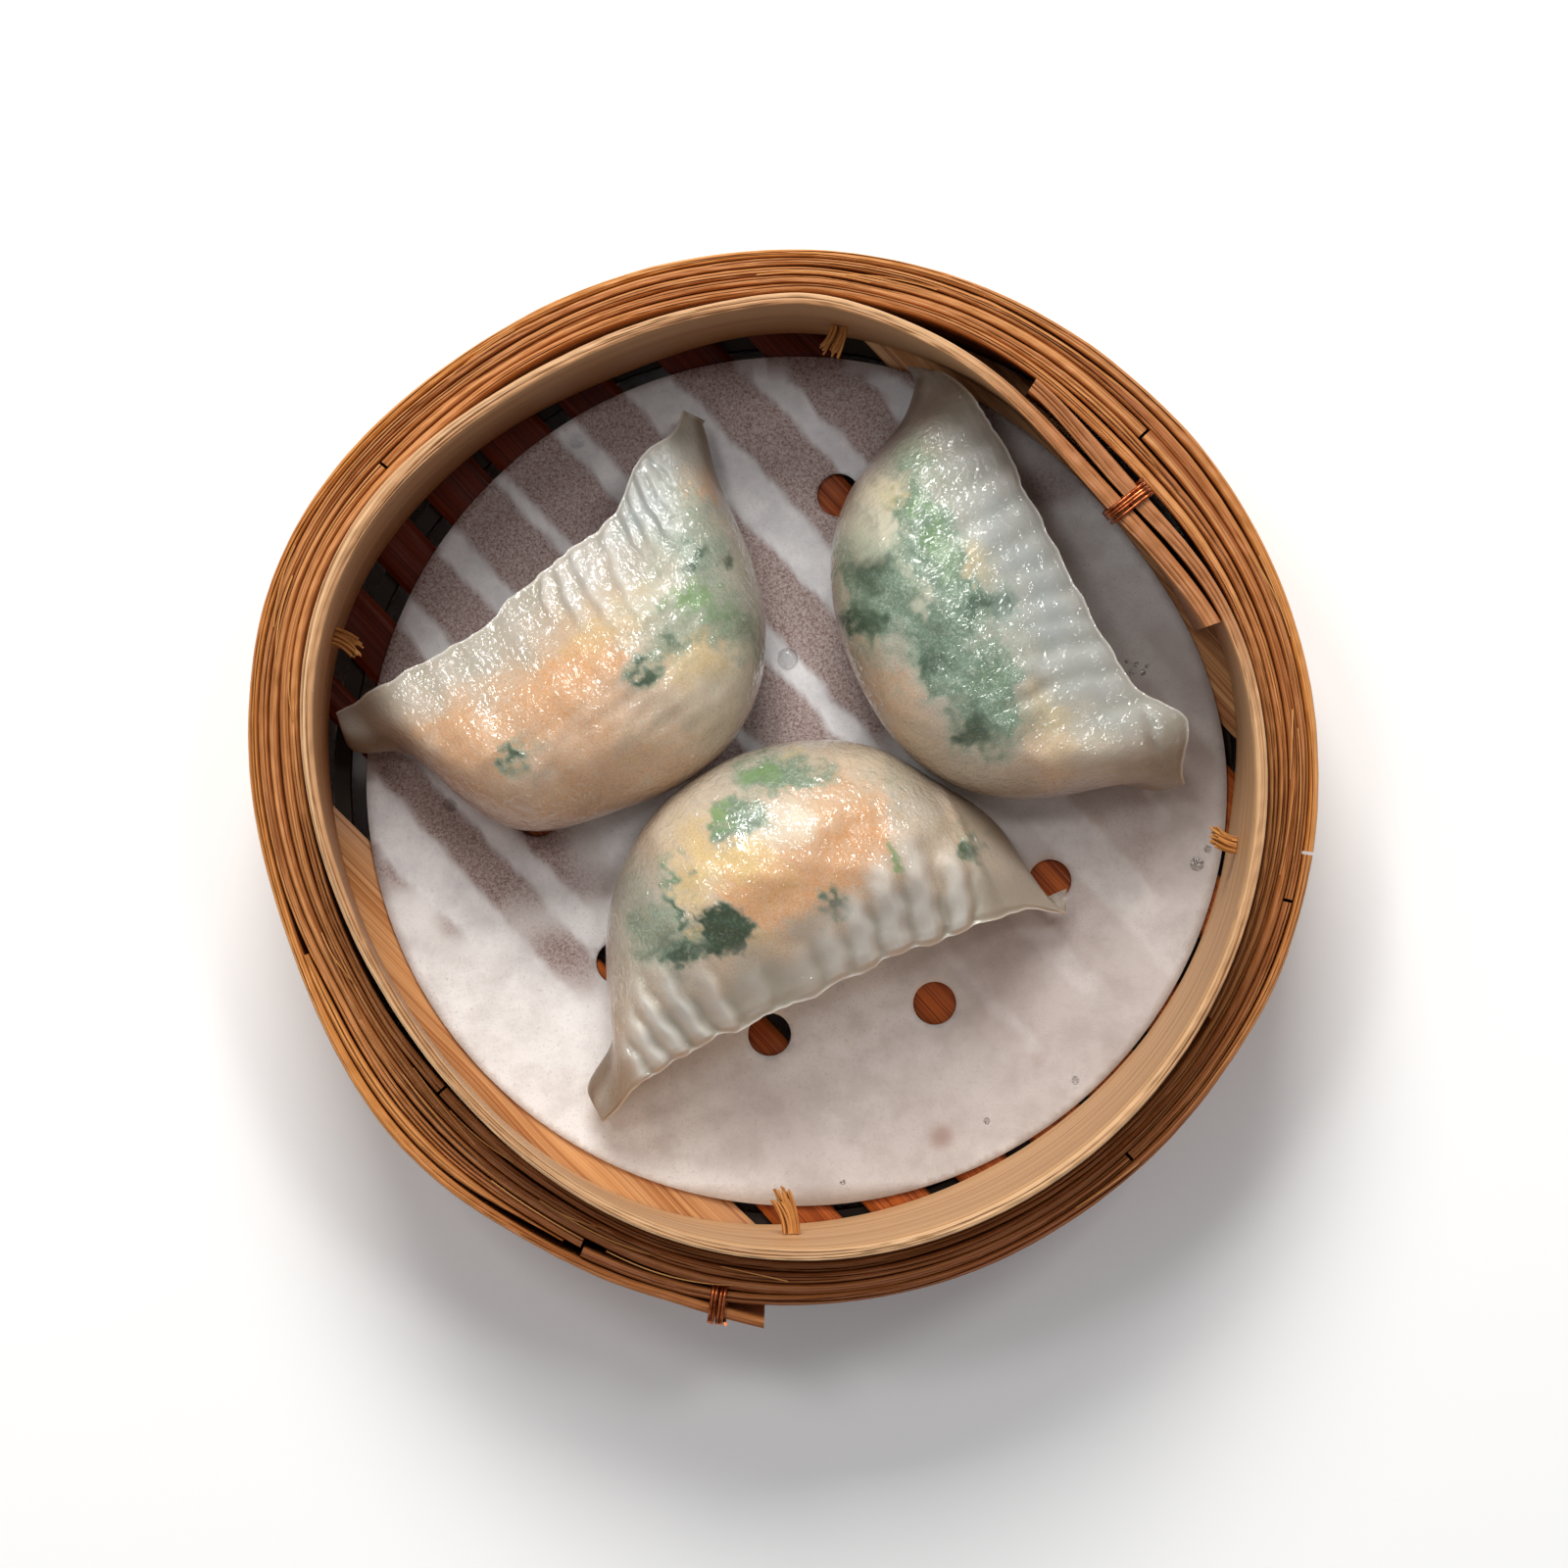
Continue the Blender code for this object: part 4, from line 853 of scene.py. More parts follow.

# %% [markdown]
# The filling shows through the skin as soft patches of colour. Each patch is named by
# what it is and placed in the dumpling's own frame, in millimetres: x along the seam, y
# towards the belly, then its two radii and how strongly it shows. Chive is green, and
# prawn is peach with orange flecks. The same list could be one painted picture, but named
# patches stay sharp at any size and can be moved by hand. A pleat is where it starts and
# ends along the seam, how far it reaches, its width and its rise. A dent is a place, two
# radii and a depth.

# %% The three dumplings
# Pale patches are partly whitish filling and partly painted highlight: on the first dumpling at (-13, 17.5)
# and on the third at (7, 27.5) they lie in the highlight.
DUMPLINGS = (
    {"name": "dumpling_1", "middle": (-0.0396, 0.0316), "turn": 222.5, "half": 0.0336, "height": 0.028,
     "seam_height": 0.0175, "flaps": ((0.0055, 0.65), (0.009, 0.4)), "belly": 0.0303,
     "belly_swells": ((0, 15, 0.0044), (82, 44, 0.0111), (131, 19, 0.0051), (174, 8, 0.0053)),
     "seam": -0.0062,
     "seam_swells": ((-0.0312, 0.007, 0.005), (-0.0158, 0.0092, 0.0049), (0.005, 0.0297, 0.0108),
                     (0.0322, 0.0041, 0.0009)),
     "pleats": ((-27.6, -27.4, 5, 0.8, 0.35), (-25.7, -25.8, 8, 0.8, 0.5), (-24.2, -22.2, 10, 0.8, 0.6),
                (-22.3, -19.6, 12, 0.9, 0.75), (-19.9, -16.8, 11, 1.0, 0.7), (-17.3, -15.2, 9, 0.9, 0.5),
                (-13.6, -8.6, 18, 1.2, 0.9), (-10.8, -7.6, 9, 0.9, 0.5), (-7.9, -5.2, 16, 1.2, 1.1),
                (-5.3, -1.7, 13, 1.0, 0.9), (-2.6, 0.8, 8, 0.9, 0.7), (4.5, 6.5, 9, 2.2, 0.35),
                (11.0, 12.5, 8, 2.0, 0.3), (17.0, 18.5, 9, 2.2, 0.35), (23.0, 24.0, 9, 1.6, 0.4)),
     "furrow": 0.06, "veil": (-0.5, 12.5), "cool": 0.05, "sheer_and_shade": 0.15,
     "patches": {
         "prawn": ((5, 21, 9, 7, 0.55), (0, 19, 5, 4, 0.5), (11, 19, 6, 6, 0.5), (21, 17, 6, 6, 0.7),
                   (12, 31, 10, 5, 0.6), (22, 10, 4, 4, 0.5), (-29, 11, 3, 4, 0.7), (2, 37, 8, 4, 0.5),
                   (-13, 29, 3, 3, 0.3)),
         "chive": ((-25.5, 16, 5, 4, 0.25), (-23.5, 21.5, 4, 3.4, 0.3), (-19.5, 18.7, 3.6, 3.0, 0.5),
                   (-16, 23, 5, 5, 0.35), (-18.6, 30, 4, 5, 0.4), (-15, 27, 5, 4, 0.3),
                   (-18, 35, 4, 4, 0.35), (-4.3, 24.5, 3.0, 2.3, 0.85), (-9.2, 25.4, 2.4, 2.2, 0.6),
                   (17.5, 21.7, 2.8, 2.6, 0.9), (2, 32, 5, 3, 0.22), (15, 41, 4, 2, 0.4),
                   (-20, 13, 6, 5, 0.35), (-10, 20, 4, 4, 0.3)),
         "dark_chive": ((-19.6, 18.6, 1.9, 1.6, 0.7), (-23.6, 21.5, 1.4, 1.6, 0.7),
                        (-4.2, 24.6, 1.6, 1.4, 0.7), (17.5, 21.8, 1.8, 1.6, 0.75),
                        (-18.8, 30, 2.0, 3.2, 0.4), (-19, 35, 2.4, 2.4, 0.4), (-9.4, 25.3, 1.1, 1.0, 0.5)),
         "bright_chive": ((-15.4, 22.0, 2.6, 2.4, 0.8), (-17.4, 25.0, 3.4, 2.8, 0.5),
                          (-13.8, 20.4, 2, 1.6, 0.5), (-18.5, 28.5, 3, 3, 0.3)),
         "corn": ((-9, 28, 5, 4, 0.5), (-8, 18, 4, 4, 0.35), (-2, 16, 4, 3, 0.5), (-13, 30, 4, 4, 0.4)),
         "pale": ((-13, 17.5, 4, 4, 0.5), (-8, 36, 7, 5, 0.35), (-13, 34, 4, 4, 0.3)),
         "haze": ((-20, 22, 11, 16, 0.8), (-24, 8, 9, 8, 0.6), (-8, 22, 6, 6, 0.4))},
     "dents": ((-13.5, 14.0, 1.6, 9.0, -0.5),)},
    {"name": "dumpling_2", "middle": (0.0393, 0.0291), "turn": 119.1, "half": 0.0352, "height": 0.0285,
     "seam_height": 0.0185, "flaps": ((0.006, 0.8), (0.008, 0.45)), "belly": 0.03,
     "belly_swells": ((0, 8, 0.0044), (59, 35, 0.0031), (132, 36, 0.0026), (192, 16, 0.015)),
     "seam": -0.0023,
     "seam_swells": ((-0.0267, 0.0046, -0.0048), (-0.012, 0.0209, 0.0006), (0.042, 0.0052, 0.0124)),
     "pleats": ((25.0, 25.4, 10, 1.7, 0.35), (20.8, 21.2, 12, 1.8, 0.45), (15.9, 15.6, 15, 2.0, 0.6),
                (10.9, 10.4, 16, 1.9, 0.6), (5.6, 5.4, 14, 1.9, 0.5), (0.6, 2.2, 15, 1.7, 0.45),
                (-4.2, -1.8, 17, 1.8, 0.6), (-8.6, -5.4, 13, 1.5, 0.45), (-13.0, -9.2, 17, 1.9, 0.7),
                (-18.0, -14.6, 14, 1.8, 0.55), (-23.0, -21.4, 10, 1.6, 0.4)),
     "furrow": 0.1, "veil": (1.5, 15.5), "cool": 0.4, "sheer_and_shade": 0.95,
     "patches": {
         "prawn": ((1, 29.5, 9, 3, 0.35), (-8, 29, 9, 4, 0.3), (-22, 14, 5, 4, 0.35)),
         "chive": ((10, 18, 9, 7, 0.35), (0, 18, 9, 6, 0.35), (-9, 18, 6, 5, 0.3), (18.4, 12.8, 4, 3, 0.8),
                   (13, 13, 4.5, 5, 0.9), (14, 22.5, 5, 4.5, 0.9), (8.2, 27.4, 5, 3.6, 0.9),
                   (8.4, 15.6, 5, 4, 0.9), (2.3, 12.3, 4, 4, 0.9), (0.6, 8.2, 3.4, 2.2, 0.8),
                   (3.6, 18.2, 5, 4, 0.8), (-15.5, 15.5, 4, 4, 0.4), (22.5, 17.5, 4, 4, 0.35),
                   (-2.3, 21.7, 4, 4, 0.9), (-7.3, 14, 3.6, 3, 0.85), (-7.3, 17.4, 3.4, 3, 0.8),
                   (-12.8, 20.8, 4.6, 4.2, 0.9), (-10.5, 18, 4, 3.4, 0.7), (28, 10.8, 6, 4, 0.7),
                   (23, 8, 6, 4, 0.4), (10, 21, 7, 6, 0.5), (20, 26, 5, 4, 0.5)),
         "dark_chive": ((14, 23, 3.6, 3.4, 0.75), (8.2, 27.4, 3.8, 2.8, 0.8), (2.3, 12.3, 3, 2.6, 0.7),
                        (0.6, 8.2, 2.4, 1.5, 0.6), (-2.3, 21.9, 3, 3, 0.7), (-13, 21, 3.6, 3.2, 0.75),
                        (8.6, 16, 2.6, 2.4, 0.45), (3.6, 19, 3, 2.4, 0.4), (28, 11.5, 3, 2, 0.3)),
         "bright_chive": ((18.2, 12.4, 2.6, 2.4, 0.7), (13, 12.6, 3.2, 3, 0.7), (8.2, 14, 2.6, 2.4, 0.5),
                          (-7.6, 14.6, 2.8, 2.6, 0.35), (-8, 18.4, 2.6, 2.4, 0.3)),
         "corn": ((21.2, 15.5, 2.6, 2.2, 1.0), (8.9, 10.8, 3, 2.4, 0.7), (6.6, 8.5, 2.4, 2, 0.5),
                  (-15.5, 10.5, 4, 1.7, 0.5), (-21.5, 12, 3.4, 2.4, 0.3), (-16, 14, 3, 2, 0.2)),
         "pale": ((24, 17, 2.8, 2.2, 0.8), (18.8, 17.8, 4, 1.8, 0.95), (17.9, 22, 3.6, 2.8, 0.6),
                  (6.5, 18.4, 2.2, 1.5, 0.8), (11.2, 18.6, 2, 1.2, 0.5)),
         "haze": ((4, 16, 22, 13, 0.5), (0, 4, 28, 8, 0.4))},
     "dents": ((-18.8, 13.8, 3.0, 2.4, -0.9), (-13.0, 12.0, 1.2, 5.0, -0.5), (-21.0, -2.6, 2.4, 0.8, -0.8),
               (-24.5, -1.6, 2.4, 0.8, -0.9), (-28.0, -0.4, 2.4, 0.8, -0.8))},
    {"name": "dumpling_3", "middle": (0.0073, -0.0342), "turn": 24.1, "half": 0.0371, "height": 0.029,
     "seam_height": 0.0185, "flaps": ((0.0085, 0.35), (0.01, 0.4)), "belly": 0.0304,
     "belly_swells": ((6, 8, 0.0066), (72, 42, 0.0065), (130, 52, 0.0082), (138, 13, -0.0016),
                      (187, 8, 0.015)),
     "seam": -0.0062,
     "seam_swells": ((-0.024, 0.0194, 0.0083), (0.012, 0.0272, 0.0108), (0.0312, 0.0075, 0.0025)),
     "pleats": ((-28.0, -29.6, 10, 1.1, 0.7), (-25.0, -27.0, 13, 1.2, 1.0), (-21.4, -24.2, 16, 1.3, 1.3),
                (-17.6, -19.8, 15, 1.3, 1.2), (-13.6, -14.0, 13, 1.2, 0.9), (-8.6, -7.4, 9, 1.6, 0.4),
                (-1.0, -0.4, 9, 1.6, 0.5), (3.6, 4.6, 11, 1.6, 0.9), (8.2, 9.6, 13, 1.6, 1.5),
                (12.8, 15.2, 17, 1.7, 2.0), (17.6, 20.4, 18, 1.7, 2.0), (22.4, 25.4, 15, 1.5, 1.3)),
     "step_down": (134, 142, 0.35), "furrow": 0.35, "veil": (3.0, 13.0), "cool": 0.1, "sheer_and_shade": 0.3,
     "patches": {
         "prawn": ((11.9, 20.4, 4, 5, 1.0), (16.7, 23.1, 3.4, 4.4, 0.9), (-1.8, 18.4, 4.8, 3.4, 1.2),
                   (5.8, 18.3, 5, 3.2, 1.1), (-4.2, 24, 3.4, 3, 0.9), (1.9, 23.2, 5, 4, 0.8),
                   (14, 29, 6, 5, 0.5), (9, 25, 5, 4, 0.5), (29, 17, 2.4, 4, 0.25)),
         "chive": ((5, 37.6, 3.8, 2.2, 0.9), (6.3, 35, 3.2, 2.2, 0.85), (9.4, 34, 3.4, 2, 0.7),
                   (13, 33, 3.4, 1.6, 0.45), (-2.4, 33.8, 2.2, 2.2, 0.9), (-0.6, 31.6, 3.4, 2.8, 0.95),
                   (1.8, 31.2, 2, 2.4, 0.7), (-12.3, 29.2, 1.5, 1.6, 0.95), (-14, 24.4, 1.3, 3.6, 0.9),
                   (-18.5, 22.3, 4.4, 3.6, 0.75), (-15.7, 17.8, 3.2, 2.2, 0.95),
                   (-8.6, 17.8, 4.2, 3.2, 1.0), (-9.4, 20.4, 2.2, 2.6, 1.0), (6.6, 15.3, 1.2, 2.2, 0.8),
                   (27.9, 14.4, 2.4, 1.8, 1.0), (29.4, 18.4, 2, 2.4, 0.5), (-20, 29, 4, 5, 0.4),
                   (23, 30, 4, 5, 0.3)),
         "dark_chive": ((-8.6, 17.9, 4.1, 3.1, 1.3), (-9.6, 20.6, 2.1, 2.4, 1.2),
                        (-15.9, 17.6, 2.6, 1.6, 0.8), (-14, 23.4, 0.9, 2.8, 0.7),
                        (27.9, 14.2, 1.7, 1.2, 0.7), (-18, 20.5, 3, 1.6, 0.5), (0.4, 30.6, 1.6, 1.2, 0.4),
                        (6.6, 15.3, 0.8, 1.6, 0.6)),
         "bright_chive": ((4.6, 37.4, 2.8, 1.6, 0.9), (6.4, 35, 1.6, 1.4, 0.7), (-3.2, 34, 1.3, 2.2, 1.0),
                          (17.4, 18.3, 1.2, 2.8, 0.9), (-12.3, 29.4, 1.1, 1.1, 0.7)),
         "corn": ((-11.2, 26, 2.2, 4, 0.9), (-7.7, 32, 3.6, 4, 0.7), (-5.6, 27, 4, 3.4, 0.8),
                  (-0.5, 26, 4, 3, 0.7), (-13.6, 20, 1.2, 1.4, 0.9), (-5, 14.6, 2.6, 1.4, 0.5),
                  (9.4, 37, 3, 1.2, 0.6), (1, 21, 3, 3, 0.3)),
         "pale": ((7, 27.5, 5, 3, 0.7), (-8.5, 37, 4, 4, 0.5), (19, 32, 4, 4, 0.5), (5, 30, 3, 2, 0.4)),
         "haze": ((-22, 26, 9, 14, 0.8), (10, 39, 16, 4, 0.7), (24, 26, 7, 9, 0.5))},
     "dents": ((27.0, 18.0, 1.2, 9.0, -0.4),)},
)
KINDS = ("prawn", "chive", "dark_chive", "bright_chive", "corn", "pale", "haze")
print("filling patches:", sum(len(spots) for shape in DUMPLINGS for spots in shape["patches"].values()))

# %% [markdown]
# A pleat is a fold of dough that the fingers lay over its neighbour. Its back is round,
# and its lip drops steeply into a furrow. It could be modelled as real overlapping folds,
# but steamed dough swells until only a ridge is left, so a relief shows it truly. Its
# section is given in units of its own width.

# %% Sections and pleats
PLEAT_BACK = 1.5
PLEAT_LIP = 0.75
PLEAT_HEIGHT = 0.85
PLEAT_FADES = (0.45, 1.0)
PLEAT_SWAY = 0.15
FURROW_AT = 1.2
FURROW_WIDTH = 0.5


def joined_unevenness(x, y, kinds, seed):
    """Sum of random fields, each with its height, its size and a seed of its own."""
    return sum(height * unevenness(x, y, size, seed + number) for number, (height, size) in enumerate(kinds))


def top_form(across):
    """Height share of the upper skin: sine ** 1.25 up from the seam, then an ellipse down to the belly."""
    rise = np.sin(math.pi / 2 * np.clip(across / CREST_AT, 0, 1)) ** 1.25
    fall = np.sqrt(np.clip(1 - ((across - CREST_AT) / (1 - CREST_AT)) ** 2, 0, 1))
    return np.where(across < CREST_AT, rise, fall)


def under_form(across):
    """Share by which the under skin drops to the paper: a flat rest between two rounded edges."""
    return np.clip(1 - np.abs(2 * across - REST_CENTRE) ** 3, 0, 1) ** 0.5


def pleat_relief(along, from_seam, shape):
    """Folds in millimetres: a rounded back, a steep lip with a furrow before it, fading with distance."""
    total = 0.0
    for start, end, reach, width, rise in shape["pleats"]:
        run = np.clip(from_seam / reach, 0, 1)
        centre = start + (end - start) * (1 - (1 - run) ** 2) + PLEAT_SWAY * np.sin(from_seam * 1.3 + start)
        offset = (along - centre) / width
        behind, ahead = np.minimum(offset, 0) / PLEAT_BACK, np.maximum(offset, 0) / PLEAT_LIP
        furrow = np.exp(-(((offset - FURROW_AT) / FURROW_WIDTH) ** 2))
        section = np.exp(-(behind**2) - ahead**2) - shape["furrow"] * furrow
        total = total + PLEAT_HEIGHT * rise * section * (1 - ramp(run, *PLEAT_FADES))
    return total


def flap_share(from_tip, reach, least):
    """Share of the full height that is left near a tip, where two layers of dough lie flat."""
    return least + (1 - least) * ramp(from_tip, 0.0, reach)


def soft_lower(a, b, blend_width):
    """The lower of two arrays with a rounded change-over: (a + b - sqrt((a - b)^2 + w^2)) / 2."""
    return (a + b - np.sqrt((a - b) ** 2 + blend_width**2)) / 2


print("highest point of a section lies at the share", CREST_AT, "of the way from seam to belly")

# %% [markdown]
# Now the fan is laid out. All rows and all points of a row are worked out at once: where
# the seam and the belly lie, how full the dumpling is there, and the two skins between
# them. Lumps of filling, dents and the frill of the seam come last.

# %% Form of one dumpling
SOFT_CORNER = 0.0022
FRILL = ((0.00030, 0.0075), (0.00007, 0.0022))
FRILL_LIFT = 0.8
LUMPS = ((0.00034, 0.0085), (0.00010, 0.0036))
LUMPS_START = (0.08, 0.45)
LUMPS_END = (0.93, 1.0)


def dumpling_grid(shape, seed):
    """Grid of a dumpling in its own frame, with what its masks need.

    Row a runs from (-half cos a, seam) to (-belly cos a, belly sin a) over the top and
    back below. Its height follows (sin a) ** 0.8, and is pinched where the row is short.
    """
    fan = np.linspace(*FAN_SPAN, ROWS)[:, None]
    cos, sin = np.cos(np.radians(fan)), np.sin(np.radians(fan))
    belly_radius = shape["belly"] + swell(fan, shape["belly_swells"])
    seam_x = -shape["half"] * cos
    seam_y = shape["seam"] + swell(seam_x, shape["seam_swells"])
    wide_x = -belly_radius * cos - seam_x
    wide_y = np.maximum(belly_radius * sin - seam_y, TIP_THICKNESS)
    low_from, low_to, low_share = shape.get("step_down", NO_STEP_DOWN)
    fullness = sin * (1 - low_share * ramp(fan, low_from, low_to))
    floor = TIP_LIFT * (1 - fullness) ** 1.5
    flaps = [(shape["half"] + side * seam_x, *flap) for side, flap in zip((1, -1), shape["flaps"])]
    slim = flap_share(*flaps[0]) * flap_share(*flaps[1])
    stuffed = TIP_THICKNESS / 2 + (shape["height"] - TIP_THICKNESS / 2) * fullness**0.8 * slim
    pinched = FIN_THICKNESS + PINCH_SHARE * np.hypot(wide_x, wide_y)
    height = floor + soft_lower(stuffed, pinched, SOFT_CORNER * fullness)
    seam_level = TIP_THICKNESS / 4 + (shape["seam_height"] - TIP_THICKNESS / 4) * fullness**0.5 * slim
    seam_level = seam_level + floor
    drop = floor + BELLY_LEVEL * (height - floor) - seam_level

    share = np.concatenate([np.linspace(0, 1, TOP_COUNT), np.linspace(1, 0, UNDER_COUNT + 1)[1:]])
    across = 0.5 * share + 0.25 * (1 - np.cos(math.pi * share))
    upper = np.arange(len(across)) < TOP_COUNT
    x, y = seam_x + wide_x * across, seam_y + wide_y * across
    pleats = upper * pleat_relief(x / MM, (y - seam_y) / MM, shape)
    middle = seam_level + drop * across
    fin = FIN_THICKNESS / 2 * (1 - across) * (0.35 + 0.65 * ramp(across, 0.0, 0.07))
    crest = height - seam_level - drop * CREST_AT
    above = middle + fin + crest * top_form(across) + MM * pleats * ramp(across, 0.0, 0.03)
    below = np.maximum(middle - fin - (middle - floor) * under_form(across), floor)
    edge = (1 - across) ** 14
    frill = joined_unevenness(seam_x, 0, FRILL, seed + 1)
    y = y + (frill - MM * SCALLOP * pleat_relief(seam_x / MM, 0.0, shape)) * edge
    filled = ramp(across, *LUMPS_START) * (1 - ramp(across, *LUMPS_END)) * fullness
    lumps = joined_unevenness(x, y, LUMPS, seed + 3) * filled
    for dent_x, dent_y, wide, long, rise in shape["dents"]:
        pit = np.exp(-(((x / MM - dent_x) / wide) ** 2) - ((y / MM - dent_y) / long) ** 2)
        lumps = lumps + MM * rise * pit * ramp(across, 0.02, 0.2)
    level = DUMPLING_FOOT + np.where(upper, above + lumps, below) + FRILL_LIFT * frill * edge
    return np.stack([x, y, level], axis=-1), across, pleats, fullness, slim


print("one dumpling has", ROWS * (TOP_COUNT + UNDER_COUNT), "points")

# %% [markdown]
# The skin is starch dough, steamed until it is nearly clear. It is wet and smooth, so
# highlights are bright but broken into small flecks by fine wrinkles. Real glass-like
# layers would be slow and would not export, so the filling's colours are painted on the
# surface, blurred as the skin blurs them, and a milky veil covers them near the seam,
# where the dough is doubled. Light that spreads under the surface does the rest.

# %% Dumpling skin finish
skin, shader = finish("dumpling_skin")
place, chart = in_place(), grain_map()
powder = noise(place, 3600.0, 2.0, 0.8)
clots = noise(place, 1300.0, 5.0, 0.8, 0.3)
cloud = noise(place, 190.0, 3.0, 0.6, 0.3)
muscle = noise(stretched(chart, (900.0, 420.0, 1.0)), 1.0, 4.0, 0.7, 0.5)


def soft_mask(title, low, high, ragged):
    """A patch mask with a wide border that clots of noise make fuzzy."""
    return fade(plus(mask(title), times(plus(clots, -0.5), ragged)), low, high)


# White granules on the chive: partly starch grains, partly painted glints.
granules_and_glints = times(fade(clots, 0.50, 0.62, 0.0, 0.60), mask("chive"))
milk = blend(mask("cool"), tone(186, 178, 166), tone(158, 166, 166))
veil = fade(plus(mask("veil"), times(plus(cloud, -0.5), 0.35)), 0.0, 1.0, 0.10, 0.90)
# Painted shade in the valleys between the folds, near the seam.
shade_between_folds = times(mask("veil"), plus(times(mask("fold"), -1.0), 0.7))
filling = layered(
    blend(mask("cool"), tone(208, 180, 152), tone(168, 172, 158)),
    (fade(cloud, 0.3, 0.7, 0.0, 0.4), (216, 202, 188)),
    (times(mask("prawn"), fade(muscle, 0.2, 0.8, 0.50, 0.95)), (226, 158, 92)),
    (times(mask("corn"), 0.70), (232, 200, 124)), (soft_mask("chive", 0.0, 1.1, 0.8), (100, 132, 106)),
    (granules_and_glints, (198, 206, 190)), (fade(powder, 0.48, 0.72, 0.0, 0.34), (226, 224, 210)),
    (fade(powder, 0.50, 0.28, 0.0, 0.34), (128, 100, 70)),
    (soft_mask("dark_chive", 0.1, 0.9, 0.9), (22, 62, 26)),
    (soft_mask("bright_chive", 0.1, 1.2, 0.9), (116, 152, 88)), (times(granules_and_glints, 0.4), (150, 170, 150)),
    (times(mask("pale"), 0.7), (232, 224, 200)))
# On top of the filling lie painted light and shade: tips greyed partly as painted shade; painted shade
# between the folds; a painted highlight on the folds' backs, where the dough is also thicker; a pale seam
# edge painted as light through the thin fin; and painted shade on the belly's foot.
colour = layered(
    blend(veil, filling, milk), (mask("thin"), (158, 146, 138)),
    (shade_between_folds, (226, 228, 220), "MULTIPLY"), (times(mask("fold"), 0.45), (214, 216, 212)),
    (times(mask("low"), 0.75), (176, 150, 122), "MULTIPLY"), (times(mask("rim"), 0.6), (236, 232, 222)))
print("colours of the skin:", len(skin.node_tree.nodes), "nodes")

# %% [markdown]
# The coat of the finish is the film of water on the skin. Painted glints would stay where
# they are when the light moves, so fine wrinkles tilt the film and break its highlights.
# Near the seam the water fills the valleys between the folds and lies flatter than the
# dough. So there the film's normal is lifted first, and tilted by the wrinkles after.

# %% Wrinkles and the film of water
wrinkles = noise(stretched(chart, (520.0, 240.0, 1.0)), 1.0, 1.5, 0.5, 1.4)
crinkle = noise(place, 480.0, 1.0, 0.5, 1.0)
fine = noise(stretched(chart, (1500.0, 700.0, 1.0)), 1.0, 1.0, 0.5, 0.8)
beads = fade(noise(place, 1900.0, 1.0, 0.5, 0.4), 0.58, 0.70)
height = plus(plus(wrinkles, times(crinkle, 0.7)), plus(times(fine, 0.22), times(beads, 0.10)))
depth = times(fade(mask("veil"), 0.0, 1.0, 0.00065, 0.00052), fade(mask("low"), 0.0, 0.6, 1.0, 0.5))
lift = add("ShaderNodeCombineXYZ", {2: fade(mask("veil"), 0.05, 0.6, 0.0, 0.6)}).outputs[0]
outward = add("ShaderNodeNewGeometry", {}).outputs["Normal"]
lifted = add("ShaderNodeVectorMath", {0: outward, 1: lift}, operation="ADD").outputs[0]
lifted = add("ShaderNodeVectorMath", {0: lifted}, operation="NORMALIZE").outputs[0]
fill(shader, {
    "Base Color": colour, "Roughness": 0.38, "Normal": relief(height, 0.00002), "Specular IOR Level": 0.25,
    "Subsurface Weight": 0.6, "Subsurface Radius": (1.0, 0.8, 0.65), "Subsurface Scale": 0.0013,
    "Coat Weight": 1.0, "Coat Roughness": 0.02, "Coat IOR": 1.62,
    "Coat Normal": relief(height, depth, Normal=lifted)})
print("skin finish:", len(skin.node_tree.nodes), "nodes")

# %% [markdown]
# Each dumpling is built from its table: the form first, then the masks that its finish
# reads. Veil is thick dough near the seam. Fold is the back of a pleat, where a painted
# highlight lies, with painted shade in the valleys between. Thin is a tip without filling,
# greyed partly because the dough is see-through and partly as painted shade, most of all
# on the second dumpling's tail. Rim is the very edge, painted pale as light through the
# thin fin. Low paints shade on the foot of the belly. The borders of the filling's
# patches are pushed about at random, as chopped leaves are.

# %% Make the dumplings
TORN_BORDERS = ((0.9, 5.0), (0.55, 1.6))
TORN_SPOT = 1.4
VEILED_TIPS = (0.20, 0.55)
THIN_TIPS = (0.30, 0.76)
THIN_FLAPS = (0.3, 0.9)
FOLDED_ROWS = (0.2, 0.5)
FULL_FOLD = 0.9
RIM_WIDTH = 0.5
SHADED_SHARES = (0.40, 0.80)
SHADED_LEVELS = (DUMPLING_FOOT + 0.004, DUMPLING_FOOT + 0.025)


def patch_mask(x, y, spots, seed):
    """Soft patches whose borders are pushed about by unevenness; x and y in millimetres."""
    x = x + joined_unevenness(x, y, TORN_BORDERS, seed)
    y = y + joined_unevenness(x, y, TORN_BORDERS, seed + 2)
    return blobs(x, y, spots, TORN_SPOT)


